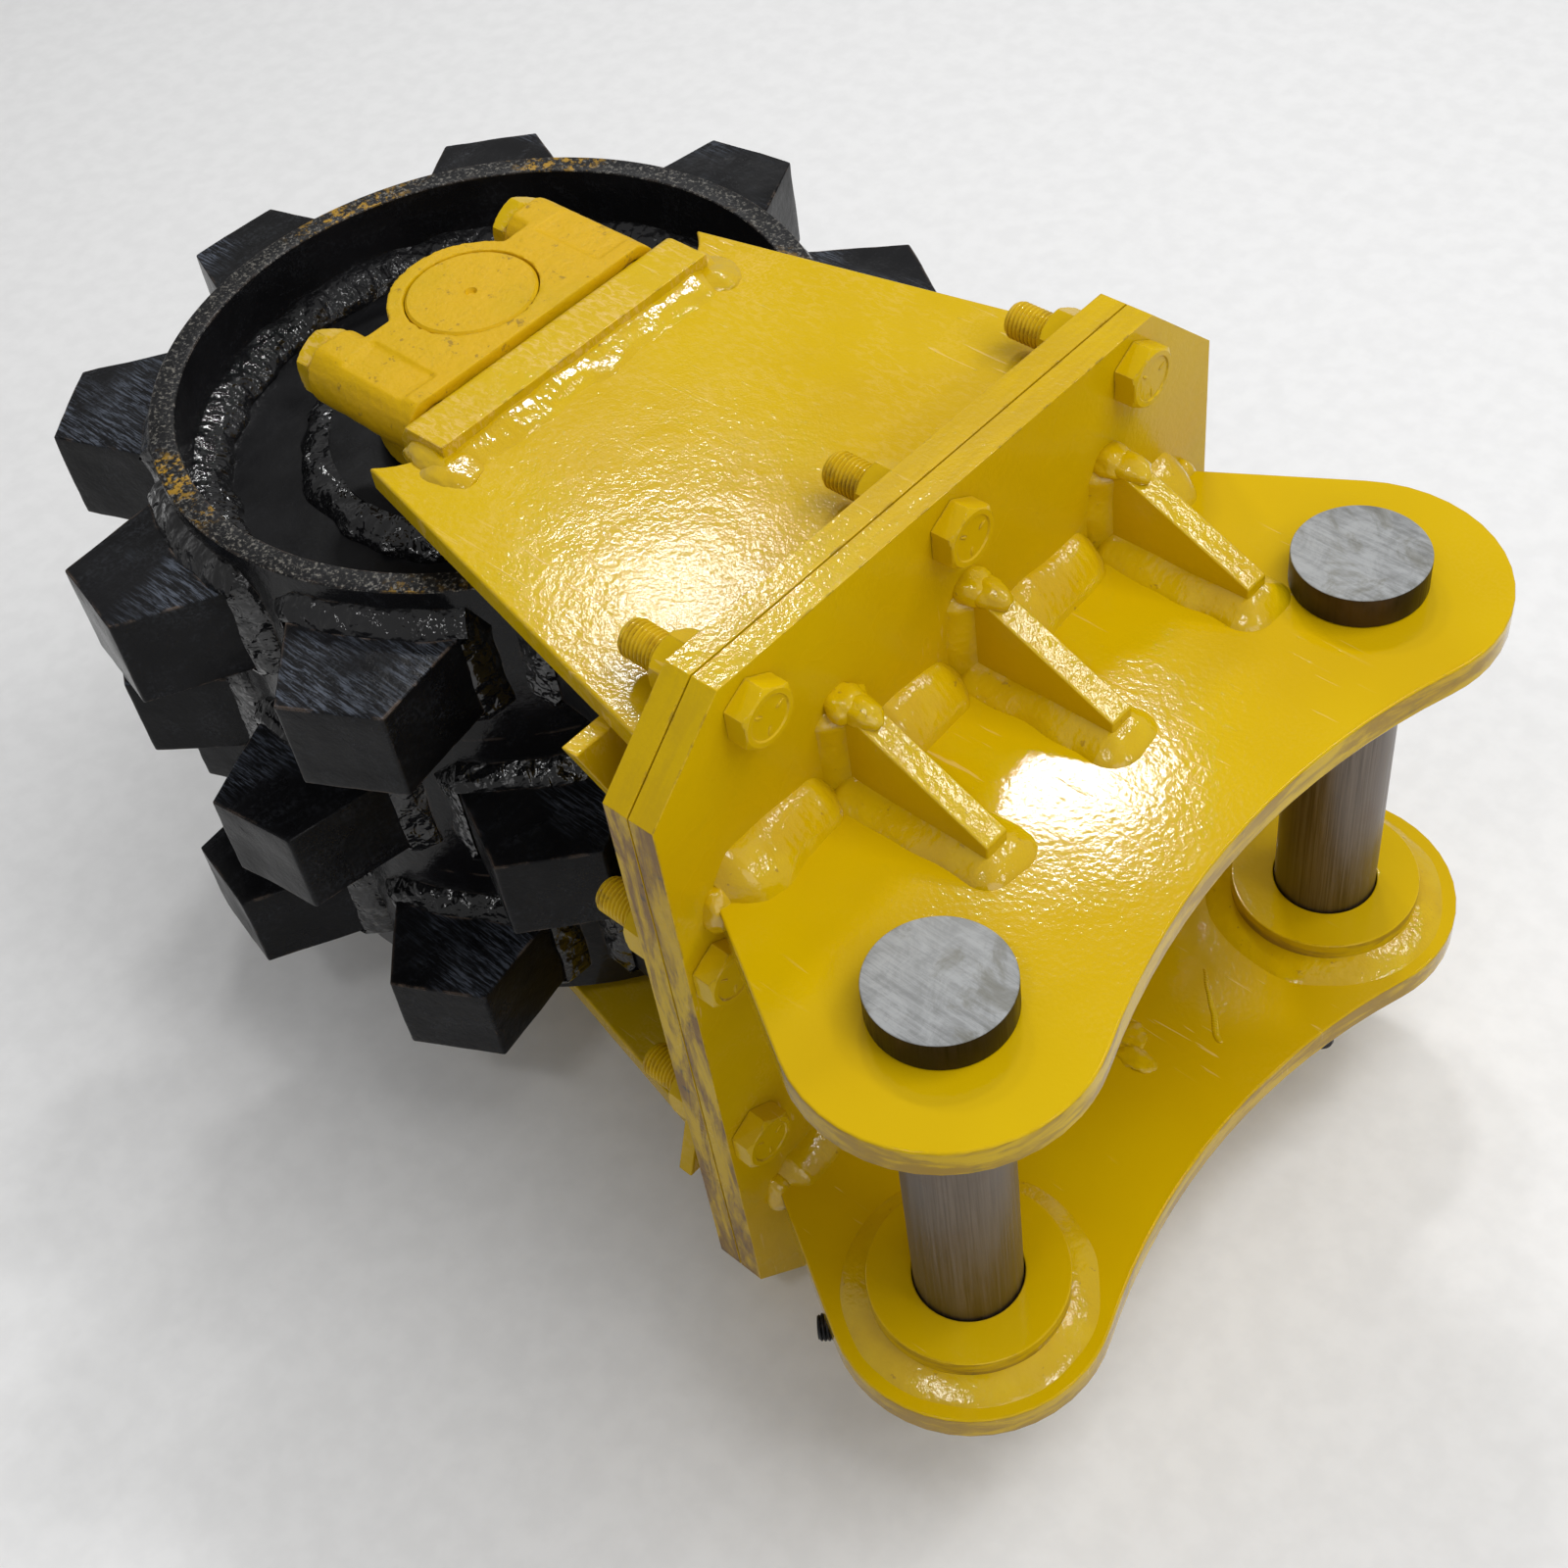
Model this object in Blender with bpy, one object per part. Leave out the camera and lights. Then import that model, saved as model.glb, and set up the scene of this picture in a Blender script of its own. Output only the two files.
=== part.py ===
"""Compaction wheel for a small excavator: a footed drum that turns on a track roller, in a bolted frame.

Metres, +Z up. The wheel lies on its side, so its axle is vertical. The frame reaches from the axle
towards +X, where two ear plates carry the pins that hang it on the machine. All places below are
measured from the point on the axle at the flanges' mid height; the empty "wheel_centre" puts that
point where the whole assembly is centred over the origin and stands on Z = 0.
"""
import math

import bmesh
import bpy
from mathutils import Matrix, Vector

GAP = 0.0003              # space between pieces that touch on the real object

# Drum
DRUM_MID_Z = 0.005        # middle of the drum's width
DRUM_R = 0.1524
DRUM_WALL = 0.012
DRUM_HALF_WIDTH = 0.134
ROW_PITCH = 0.093         # from one row of feet to the next
FEET_PER_ROW = 9
FIRST_FOOT_DEG = 18.0     # the outer rows; the middle row is staggered by half a pitch
FOOT_TIP_R = 0.205        # radius of a foot's outer corners
FOOT_TIP_WIDTH = 0.048
FOOT_ROOT_R = 0.145
FOOT_ROOT_WIDTH = 0.086
FOOT_LENGTH = 0.047       # along the axle
WEB_OUTER_FACE = 0.095    # from the drum's middle
WEB_THICKNESS = 0.012

# Track roller inside the drum, measured along the axle from the drum's middle
ROLLER_HALF_LENGTH = 0.103
ROLLER_FLANGE_R = 0.080
ROLLER_FLANGE_INNER = 0.076
ROLLER_TREAD_R = 0.066
ROLLER_TREAD_TAPER = 0.008
ROLLER_BORE_R = 0.0363
SEAL_POCKET_R = 0.0495
SEAL_POCKET_START = 0.088
SHAFT_R = 0.0294
SHAFT_FLANGE_R = 0.0355
SHAFT_FLANGE_HALF = 0.008
SHAFT_CHAMFER = 0.001
CENTRE_MARK_R = 0.0022
CENTRE_MARK_TIP_R = 0.0005
CENTRE_MARK_DEPTH = 0.002
BUSHING_INNER_R = 0.0298
BUSHING_OUTER_R = 0.0358
BUSHING_END = 0.080
SEAL_INNER_R = 0.033
SEAL_OUTER_R = 0.047
SEAL_MEETING = 0.1012
SEAL_RING_LENGTH = 0.009
SEAL_TAIL_R = 0.043
SEAL_LIP = 0.0035         # thickness of the lip at the meeting face
SEAL_TAPER = 0.002

# End collars
COLLAR_TOP = 0.1672       # outer face, from the drum's middle
COLLAR_BOTTOM = 0.105
COLLAR_R = 0.0377
COLLAR_SEAT_R = 0.056
COLLAR_SEAT_TOP = 0.118
COLLAR_NECK = 0.006       # height of the slope from the seat to the hub
COLLAR_BORE_R = 0.0298
COLLAR_WING_BACK_X = -0.016
COLLAR_BOSS_R = 0.017
COLLAR_BOLT_Y = 0.058
COLLAR_BOLT_Z = 0.152
COLLAR_BOSS_END_X = -0.028
COLLAR_WEB_STEP = 0.002   # the web's underside above the bosses' undersides
COLLAR_PIN_R = 0.006
COLLAR_PIN_Z = 0.138
COLLAR_PIN_START_X = -0.0357
COLLAR_PIN_END_X = 0.0347

# Bars and side plates
BAR_X0 = 0.0398
BAR_X1 = 0.0673
BAR_HALF_LENGTH = 0.0779
BAR_TOP = 0.166           # from the drum's middle
BAR_BOTTOM = 0.131
PLATE_OUTER = 0.157       # side plates' outer faces, from the drum's middle
PLATE_THICKNESS = 0.012
PLATE_TIP_X = 0.0407
PLATE_HALF_AT_TIP = 0.0973
PLATE_HALF_AT_FLANGE = 0.1394
PLATE_NOTCH_X = 0.054
CROSS_X0 = 0.2073
CROSS_X1 = 0.2153
CROSS_HALF = 0.128
CROSS_END_HALF = 0.151
CROSS_END_DEPTH = 0.065

# Flanges, which meet near X = 0.256
FLANGE_THICKNESS = 0.012
FLANGE_FRONT_X = 0.2684
FLANGE_JOINT_GAP = 0.0008
FLANGE_HALF_Y = 0.1638
FLANGE_HALF_Z = 0.1941
FLANGE_CORNER_Y = 0.040
FLANGE_CORNER_Z = 0.038
FLANGE_ROW_Z = 0.176      # upper and lower rows of three bolts
FLANGE_ROW_Y = 0.111
FLANGE_SIDE_Y = 0.1495    # columns of two bolts at the sides
FLANGE_SIDE_Z = (0.066, -0.048)

# Ears
EAR_THICKNESS = 0.014
EAR_UPPER_TOP = 0.1018
EAR_LOWER_BOTTOM = -0.112
EAR_HALF_AT_FLANGE = 0.144
PIN_X = 0.365
PIN_Y = 0.130
LOBE_R = 0.060
EAR_WAIST_X = 0.402       # the hollow outer edge at Y = 0
PIN_R = 0.02275
PIN_HOLE_R = 0.0233
PIN_HEAD_R = 0.0275
PIN_HEAD_HEIGHT = 0.0147
PIN_END_Z = -0.146
PIN_CHAMFER = 0.003
PIN_HEAD_CHAMFER = 0.0008
BOSS_R = 0.0424
BOSS_HEIGHT = 0.0133
GUSSET_UPPER_Y = (-0.068, 0.007, 0.095)
GUSSET_LOWER_Y = (-0.075, 0.0, 0.075)
GUSSET_THICKNESS = 0.012
GUSSET_HEIGHT = 0.042
GUSSET_NOSE = 0.012
GUSSET_LAND = 0.008
GUSSET_LENGTH = 0.072
PIN_COLLAR_R = 0.042
PIN_COLLAR_HEIGHT = 0.027
LOCK_BOLT_R = 0.006
LOCK_BOLT_REACH = 0.066
LOCK_BOLT_DEG = (-133.0, -52.0)   # direction of each lock bolt's threaded end, left and right

# Fasteners: shank radius, across flats, head height
M16 = (0.008, 0.024, 0.010)
M18 = (0.009, 0.027, 0.010)
M12 = (0.006, 0.019, 0.0075)
CLEARANCE = 0.0005        # radial, around a shank
NUT_HEIGHT = 1.6          # in shank radii
THREAD_CHAMFER = 0.0015
COLLAR_BOLT_SHORT = 0.002     # how far the collar bolts stop short of the bar's far face
FLANGE_BOLT_TAIL = 0.0333     # from the flange to the thread's end, nut included

YELLOW = (0.72, 0.50, 0.01, 1.0)
BLACK = (0.012, 0.012, 0.014, 1.0)
STEEL = (0.42, 0.41, 0.39, 1.0)
DARK_STEEL = (0.16, 0.15, 0.14, 1.0)
BRONZE = (0.55, 0.36, 0.16, 1.0)

ROUND = 24                # segments of a middling round piece
SHARP_ABOVE_DEG = 30
CUT = 0.2                 # reach of a cutting tool that passes right through


def clear_scene():
    for item in list(bpy.data.objects):
        bpy.data.objects.remove(item, do_unlink=True)


def material(name, colour, roughness, metallic):
    made = bpy.data.materials.new(name)
    made.use_nodes = True
    shader = made.node_tree.nodes["Principled BSDF"]
    shader.inputs["Base Color"].default_value = colour
    shader.inputs["Roughness"].default_value = roughness
    shader.inputs["Metallic"].default_value = metallic
    return made


def empty(name, location, parent=None):
    made = bpy.data.objects.new(name, None)
    bpy.context.collection.objects.link(made)
    made.parent = parent
    made.location = location
    return made


def mesh_from(name, bm):
    bmesh.ops.recalc_face_normals(bm, faces=bm.faces)
    mesh = bpy.data.meshes.new(name)
    bm.to_mesh(mesh)
    bm.free()
    return mesh


def piece(name, mesh, look, parent, location=(0.0, 0.0, 0.0)):
    """Link one named solid: look is its material's colour, roughness and metallic value."""
    made = bpy.data.objects.new(name, mesh)
    bpy.context.collection.objects.link(made)
    made.parent = parent
    made.location = location
    mesh.materials.clear()
    mesh.materials.append(material(name, *look))
    mesh.shade_smooth()
    mesh.set_sharp_from_angle(angle=math.radians(SHARP_ABOVE_DEG))


def ring_points(radius, count, shape):
    """One loop of a turned piece: a circle, or a hexagon whose radius is to its flats."""
    points = []
    for step in range(count):
        angle = 2 * math.pi * step / count
        reach = radius
        if shape == "hex":
            reach = radius / math.cos(angle % (math.pi / 3) - math.pi / 6)
        points.append((reach * math.cos(angle), reach * math.sin(angle)))
    return points


def turned(name, profile, count=ROUND, hollow=False, axis="Z"):
    """Solid of revolution through (radius, height) or (radius, height, "hex") stations.

    A hollow piece closes its profile on itself; any other is capped at its first and last station.
    """
    bm = bmesh.new()
    loops = []
    for station in profile:
        shape = station[2] if len(station) == 3 else "round"
        ring = ring_points(station[0], count, shape)
        loops.append([bm.verts.new((x, y, station[1])) for x, y in ring])
    pairs = list(zip(loops, loops[1:]))
    if hollow:
        pairs.append((loops[-1], loops[0]))
    for low, high in pairs:
        for i in range(count):
            j = (i + 1) % count
            bm.faces.new((low[i], low[j], high[j], high[i]))
    if not hollow:
        bm.faces.new(loops[0])
        bm.faces.new(loops[-1])
    if axis == "X":
        bmesh.ops.rotate(bm, verts=bm.verts, matrix=Matrix.Rotation(math.radians(90), 3, "Y"))
    return mesh_from(name, bm)


def arc(centre, radius, start_deg, end_deg, steps):
    points = []
    for step in range(steps + 1):
        angle = math.radians(start_deg + (end_deg - start_deg) * step / steps)
        points.append((centre[0] + radius * math.cos(angle), centre[1] + radius * math.sin(angle)))
    return points


def slab(name, outline, low, high, holes=(), normal="Z", hole_steps=ROUND):
    """Flat plate between two levels along its normal, with round holes given as (u, v, radius).

    The outline's coordinates are X, Y for a plate facing Z, and Y, Z for one facing X,
    and X, Z for one facing Y.
    """
    bm = bmesh.new()
    loops = [outline]
    for u, v, radius in holes:
        loops.append(arc((u, v), radius, 0, 360, hole_steps)[:-1])
    edges = []
    for loop in loops:
        verts = [bm.verts.new((u, v, 0.0)) for u, v in loop]
        for i, vert in enumerate(verts):
            edges.append(bm.edges.new((vert, verts[(i + 1) % len(verts)])))
    bmesh.ops.triangle_fill(bm, use_beauty=True, use_dissolve=False, edges=edges, normal=(0, 0, 1))
    for vert in bm.verts:
        vert.co.z = low
    raised = bmesh.ops.extrude_face_region(bm, geom=list(bm.faces), use_keep_orig=True)
    top = [item for item in raised["geom"] if isinstance(item, bmesh.types.BMVert)]
    bmesh.ops.translate(bm, verts=top, vec=(0, 0, high - low))
    if normal == "X":
        turn = Matrix(((0, 0, 1), (1, 0, 0), (0, 1, 0)))
        bmesh.ops.transform(bm, verts=bm.verts, matrix=turn.to_4x4())
    if normal == "Y":
        turn = Matrix(((1, 0, 0), (0, 0, 1), (0, 1, 0)))
        bmesh.ops.transform(bm, verts=bm.verts, matrix=turn.to_4x4())
    return mesh_from(name, bm)


def moved(mesh, location=(0.0, 0.0, 0.0), turn=None):
    """Place a mesh's own points, so that a joined piece needs no transform."""
    matrix = Matrix.Translation(location)
    if turn is not None:
        matrix = matrix @ turn
    mesh.transform(matrix)
    return mesh


def combined(name, base, others, operation):
    """Join the other meshes to the base, or cut them from it, one exact Boolean at a time."""
    holder = bpy.data.objects.new(name, base)
    bpy.context.collection.objects.link(holder)
    tools = []
    for other in others:
        tool = bpy.data.objects.new("tool", other)
        bpy.context.collection.objects.link(tool)
        tool.hide_render = True
        tool.display_type = "WIRE"
        change = holder.modifiers.new("join", "BOOLEAN")
        change.operation = operation
        change.solver = "EXACT"
        change.object = tool
        tools.append(tool)
    bpy.context.view_layer.update()
    graph = bpy.context.evaluated_depsgraph_get()
    result = bpy.data.meshes.new_from_object(holder.evaluated_get(graph))
    result.name = name
    for item in tools + [holder]:
        bpy.data.objects.remove(item, do_unlink=True)
    return result


def mirrored(mesh, level):
    """A copy of a mesh, mirrored in the horizontal plane at the given level."""
    copy = mesh.copy()
    copy.transform(Matrix.Translation((0, 0, 2 * level)) @ Matrix.Scale(-1, 4, (0, 0, 1)))
    copy.flip_normals()
    return copy


# Outlines ---------------------------------------------------------------------------------------

def foot_tip_face():
    return math.sqrt(FOOT_TIP_R ** 2 - (FOOT_TIP_WIDTH / 2) ** 2)


def foot_angles(row):
    pitch = 360 / FEET_PER_ROW
    shift = pitch / 2 if row == 1 else 0.0
    return [FIRST_FOOT_DEG + shift + pitch * k for k in range(FEET_PER_ROW)]


def ear_outline():
    """Two lobes round the pins, joined by a hollow arc that is tangent to both."""
    depth = EAR_WAIST_X - PIN_X
    hollow_r = (depth ** 2 + PIN_Y ** 2 - LOBE_R ** 2) / (2 * (LOBE_R - depth))
    hollow_x = EAR_WAIST_X + hollow_r
    join_deg = math.degrees(math.atan2(PIN_Y, hollow_x - PIN_X))
    root_x = FLANGE_FRONT_X + GAP
    away = Vector((root_x - PIN_X, EAR_HALF_AT_FLANGE - PIN_Y))
    tangent_deg = math.degrees(math.atan2(away.y, away.x) - math.acos(LOBE_R / away.length))
    upper = arc((PIN_X, PIN_Y), LOBE_R, -join_deg, 0, 3)
    upper += arc((PIN_X, PIN_Y), LOBE_R, 0, tangent_deg, 14)[1:]
    upper.append((root_x, EAR_HALF_AT_FLANGE))
    lower = [(x, -y) for x, y in reversed(upper)]
    hollow = arc((hollow_x, 0.0), hollow_r, 180 + join_deg, 180 - join_deg, 16)[1:-1]
    return upper + lower + hollow


def flange_outline():
    y = FLANGE_HALF_Y
    z = FLANGE_HALF_Z
    cut_y = FLANGE_CORNER_Y
    cut_z = FLANGE_CORNER_Z
    quarter = [(y, z - cut_z), (y - cut_y, z)]
    half = quarter + [(-u, v) for u, v in reversed(quarter)]
    return half + [(-u, -v) for u, v in half]


def side_plate_outline():
    """Tapers from the flange to two pointed tips, with a notch between them for the bar."""
    back_x = FLANGE_FRONT_X - 2 * FLANGE_THICKNESS - FLANGE_JOINT_GAP - GAP
    notch_x = BAR_X1 + GAP
    notch_y = BAR_HALF_LENGTH + GAP
    scoop = [(PLATE_NOTCH_X, notch_y + 2 * GAP)]
    steps = 5
    for step in range(1, steps):
        share = step / steps
        x = PLATE_NOTCH_X + (PLATE_TIP_X - PLATE_NOTCH_X) * share ** 2
        scoop.append((x, notch_y + (PLATE_HALF_AT_TIP - notch_y) * share))
    half = [(notch_x, notch_y)] + scoop
    half += [(PLATE_TIP_X, PLATE_HALF_AT_TIP), (back_x, PLATE_HALF_AT_FLANGE)]
    return half + [(x, -y) for x, y in reversed(half)]


def assembly_offset():
    """Where the axle point goes, so that the assembly is centred in X and stands on Z = 0."""
    reach = []
    half_tip = math.asin(FOOT_TIP_WIDTH / 2 / FOOT_TIP_R)
    for row in range(3):
        for angle in foot_angles(row):
            for side in (-half_tip, half_tip):
                reach.append(FOOT_TIP_R * math.cos(math.radians(angle) + side))
    low_x = min(reach)
    high_x = max(x for x, y in ear_outline())
    return (-(low_x + high_x) / 2, 0.0, FLANGE_HALF_Z)


# Drum -------------------------------------------------------------------------------------------

def foot_mesh(angle_deg, level):
    tip = foot_tip_face()
    outline = [(FOOT_ROOT_R, -FOOT_ROOT_WIDTH / 2), (tip, -FOOT_TIP_WIDTH / 2),
               (tip, FOOT_TIP_WIDTH / 2), (FOOT_ROOT_R, FOOT_ROOT_WIDTH / 2)]
    foot = slab("foot", outline, level - FOOT_LENGTH / 2, level + FOOT_LENGTH / 2)
    return moved(foot, turn=Matrix.Rotation(math.radians(angle_deg), 4, "Z"))


def build_drum_rings(parent):
    """Three rings of the shell, each with its own row of nine feet, from the top down."""
    edge = DRUM_HALF_WIDTH
    seam = ROW_PITCH / 2
    spans = [(seam + GAP / 2, edge), (-seam + GAP / 2, seam - GAP / 2), (-edge, -seam - GAP / 2)]
    for row, name in enumerate(("upper", "middle", "lower")):
        low, high = spans[row]
        inner = DRUM_R - DRUM_WALL
        profile = [(inner, low), (DRUM_R, low), (DRUM_R, high), (inner, high)]
        ring = turned("ring", profile, count=72, hollow=True)
        level = ROW_PITCH * (1 - row)
        feet = [foot_mesh(angle, level) for angle in foot_angles(row)]
        mesh = combined("drum_ring_" + name, ring, feet, "UNION")
        piece("drum_ring_" + name, mesh, (BLACK, 0.28, 0.0), parent)


def build_webs(parent):
    outer = DRUM_R - DRUM_WALL - 2 * GAP
    inner = ROLLER_FLANGE_R + GAP
    low = WEB_OUTER_FACE - WEB_THICKNESS
    profile = [(inner, low), (outer, low), (outer, WEB_OUTER_FACE), (inner, WEB_OUTER_FACE)]
    upper = turned("web_disc_upper", profile, count=48, hollow=True)
    lower = mirrored(upper, 0.0)
    piece("web_disc_upper", upper, (BLACK, 0.2, 0.0), parent)
    piece("web_disc_lower", lower, (BLACK, 0.2, 0.0), parent)


def build_roller(parent):
    """Roller shell with a flange at each end, a straight bore and a seal pocket in each end face."""
    half = [(ROLLER_TREAD_R, ROLLER_FLANGE_INNER - ROLLER_TREAD_TAPER),
            (ROLLER_FLANGE_R, ROLLER_FLANGE_INNER),
            (ROLLER_FLANGE_R, ROLLER_HALF_LENGTH),
            (SEAL_POCKET_R, ROLLER_HALF_LENGTH),
            (SEAL_POCKET_R, SEAL_POCKET_START),
            (ROLLER_BORE_R, SEAL_POCKET_START)]
    profile = half + [(radius, -height) for radius, height in reversed(half)]
    shell = turned("roller_shell", profile, count=48, hollow=True)
    piece("roller_shell", shell, (BLACK, 0.3, 0.0), parent)

    start = SHAFT_FLANGE_HALF + GAP
    profile = [(BUSHING_INNER_R, start), (BUSHING_OUTER_R, start),
               (BUSHING_OUTER_R, BUSHING_END), (BUSHING_INNER_R, BUSHING_END)]
    upper = turned("bushing_upper", profile, hollow=True)
    lower = mirrored(upper, 0.0)
    piece("bushing_upper", upper, (BRONZE, 0.35, 1.0), parent)
    piece("bushing_lower", lower, (BRONZE, 0.35, 1.0), parent)


def seal_profile(meeting, away):
    """One half of a floating seal: a flat lip at the meeting face and a narrower tail behind it."""
    lip = meeting + away * SEAL_LIP
    tail = meeting + away * SEAL_RING_LENGTH
    return [(SEAL_INNER_R, meeting), (SEAL_OUTER_R, meeting), (SEAL_OUTER_R, lip),
            (SEAL_TAIL_R, lip + away * SEAL_TAPER), (SEAL_TAIL_R, tail), (SEAL_INNER_R, tail)]


def build_seals(drum, frame):
    turning = turned("seal", seal_profile(SEAL_MEETING - GAP / 2, -1), hollow=True)
    fixed = turned("seal", seal_profile(SEAL_MEETING + GAP / 2, 1), hollow=True)
    piece("seal_ring_turning_lower", mirrored(turning, 0.0), (STEEL, 0.2, 1.0), drum)
    piece("seal_ring_turning_upper", turning, (STEEL, 0.2, 1.0), drum)
    lower = mirrored(fixed, 0.0)
    piece("seal_ring_fixed_lower", lower, (STEEL, 0.2, 1.0), frame, (0, 0, DRUM_MID_Z))
    piece("seal_ring_fixed_upper", fixed, (STEEL, 0.2, 1.0), frame, (0, 0, DRUM_MID_Z))


# Roller's fixed parts ---------------------------------------------------------------------------

def build_shaft(parent):
    """Shaft with a thrust flange in the middle, and a cross hole and a centre mark at each end."""
    half = [(SHAFT_FLANGE_R, SHAFT_FLANGE_HALF), (SHAFT_R, SHAFT_FLANGE_HALF),
            (SHAFT_R, COLLAR_TOP - SHAFT_CHAMFER), (SHAFT_R - SHAFT_CHAMFER, COLLAR_TOP),
            (CENTRE_MARK_R, COLLAR_TOP), (CENTRE_MARK_TIP_R, COLLAR_TOP - CENTRE_MARK_DEPTH)]
    profile = [(radius, -height) for radius, height in reversed(half)] + half
    shaft = turned("roller_shaft", profile)
    holes = []
    for level in (COLLAR_PIN_Z, -COLLAR_PIN_Z):
        hole = turned("hole", [(COLLAR_PIN_R + GAP, -CUT), (COLLAR_PIN_R + GAP, CUT)], 16, axis="X")
        holes.append(moved(hole, (0, 0, level)))
    mesh = combined("roller_shaft", shaft, holes, "DIFFERENCE")
    piece("roller_shaft", mesh, (YELLOW, 0.35, 0.0), parent, (0, 0, DRUM_MID_Z))


def collar_mesh():
    """Cast collar: a hub round the shaft, a flat block with two bored bosses, and the seal seat."""
    front = BAR_X0 - GAP
    back = COLLAR_WING_BACK_X
    hub = turned("hub", [(COLLAR_SEAT_R, COLLAR_BOTTOM), (COLLAR_SEAT_R, COLLAR_SEAT_TOP),
                         (COLLAR_R, COLLAR_SEAT_TOP + COLLAR_NECK), (COLLAR_R, COLLAR_TOP)], 48)
    body_outline = [(back, -COLLAR_BOLT_Y), (front, -COLLAR_BOLT_Y),
                    (front, COLLAR_BOLT_Y), (back, COLLAR_BOLT_Y)]
    body = slab("body", body_outline, COLLAR_BOLT_Z - COLLAR_BOSS_R + COLLAR_WEB_STEP, COLLAR_TOP)
    joined = [body]
    for side in (-1, 1):
        stations = [(COLLAR_BOSS_R, COLLAR_BOSS_END_X), (COLLAR_BOSS_R, front)]
        boss = turned("boss", stations, 24, axis="X")
        joined.append(moved(boss, (0, side * COLLAR_BOLT_Y, COLLAR_BOLT_Z)))
    solid = combined("collar", hub, joined, "UNION")
    trim = slab("trim", [(-CUT, -CUT), (CUT, -CUT), (CUT, CUT), (-CUT, CUT)], COLLAR_TOP, CUT)
    bore = turned("bore", [(COLLAR_BORE_R, 0.0), (COLLAR_BORE_R, CUT)])
    pocket_end = SEAL_MEETING + SEAL_RING_LENGTH + 2 * GAP
    pocket = turned("pocket", [(SEAL_POCKET_R, 0.0), (SEAL_POCKET_R, pocket_end)])
    cuts = [trim, bore, pocket]
    shank = M18[0] + CLEARANCE
    for side in (-1, 1):
        hole = turned("hole", [(shank, -CUT), (shank, CUT)], 18, axis="X")
        cuts.append(moved(hole, (0, side * COLLAR_BOLT_Y, COLLAR_BOLT_Z)))
    cross_r = COLLAR_PIN_R + GAP
    cross = turned("hole", [(cross_r, -CUT), (cross_r, COLLAR_PIN_END_X + GAP)], 16, axis="X")
    cuts.append(moved(cross, (0, 0, COLLAR_PIN_Z)))
    return combined("collar_upper", solid, cuts, "DIFFERENCE")


def build_collars(parent):
    middle = (0, 0, DRUM_MID_Z)
    upper = collar_mesh()
    piece("collar_lower", mirrored(upper, 0.0), (YELLOW, 0.35, 0.0), parent, middle)
    piece("collar_upper", upper, (YELLOW, 0.35, 0.0), parent, middle)
    for name, level in (("upper", COLLAR_PIN_Z), ("lower", -COLLAR_PIN_Z)):
        stations = [(COLLAR_PIN_R, COLLAR_PIN_START_X), (COLLAR_PIN_R, COLLAR_PIN_END_X)]
        pin = turned("collar_pin_" + name, stations, 16, axis="X")
        piece("collar_pin_" + name, pin, (STEEL, 0.3, 1.0), parent, (0, 0, DRUM_MID_Z + level))


def bolt_mesh(name, size, head_at, nut_at, end_at):
    """Bolt along +X: the head's inner face, the nut's inner face and the thread's end, in that order."""
    shank, flats, head = size
    outward = 1 if head_at > end_at else -1
    stations = [(flats / 2, head_at + outward * head, "hex"), (flats / 2, head_at, "hex"),
                (shank, head_at)]
    if nut_at is not None:
        nut_end = nut_at - outward * NUT_HEIGHT * shank
        stations += [(shank, nut_at), (flats / 2, nut_at, "hex"), (flats / 2, nut_end, "hex"),
                     (shank, nut_end)]
    stations += [(shank, end_at + outward * THREAD_CHAMFER), (shank - THREAD_CHAMFER, end_at)]
    return turned(name, stations, 12, axis="X")


def build_collar_bolts(parent):
    number = 0
    for level in (COLLAR_BOLT_Z, -COLLAR_BOLT_Z):
        for side in (-1, 1):
            number += 1
            name = "collar_bolt_%d" % number
            mesh = bolt_mesh(name, M18, COLLAR_BOSS_END_X - GAP, None, BAR_X1 - COLLAR_BOLT_SHORT)
            place = (0, side * COLLAR_BOLT_Y, DRUM_MID_Z + level)
            piece(name, mesh, (YELLOW, 0.35, 0.0), parent, place)


# Frame ------------------------------------------------------------------------------------------

def build_bars(parent):
    outline = [(-BAR_HALF_LENGTH, BAR_BOTTOM), (BAR_HALF_LENGTH, BAR_BOTTOM),
               (BAR_HALF_LENGTH, BAR_TOP), (-BAR_HALF_LENGTH, BAR_TOP)]
    reach = M18[0] + CLEARANCE
    holes = [(side * COLLAR_BOLT_Y, COLLAR_BOLT_Z, reach) for side in (-1, 1)]
    upper = slab("collar_bar_upper", outline, BAR_X0, BAR_X1, holes, "X", 18)
    middle = (0, 0, DRUM_MID_Z)
    piece("collar_bar_lower", mirrored(upper, 0.0), (YELLOW, 0.35, 0.0), parent, middle)
    piece("collar_bar_upper", upper, (YELLOW, 0.35, 0.0), parent, middle)


def build_side_plates(parent):
    upper = slab("side_plate_upper", side_plate_outline(), PLATE_OUTER - PLATE_THICKNESS, PLATE_OUTER)
    middle = (0, 0, DRUM_MID_Z)
    piece("side_plate_lower", mirrored(upper, 0.0), (YELLOW, 0.3, 0.0), parent, middle)
    piece("side_plate_upper", upper, (YELLOW, 0.3, 0.0), parent, middle)


def build_cross_plate(parent):
    edge = PLATE_OUTER - PLATE_THICKNESS - GAP
    half = [(CROSS_END_HALF, edge), (CROSS_HALF, edge - CROSS_END_DEPTH)]
    right = half + [(y, -z) for y, z in reversed(half)]
    outline = right + [(-y, z) for y, z in reversed(right)]
    mesh = slab("cross_plate", outline, CROSS_X0, CROSS_X1, normal="X")
    piece("cross_plate", mesh, (YELLOW, 0.35, 0.0), parent, (0, 0, DRUM_MID_Z))


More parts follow.
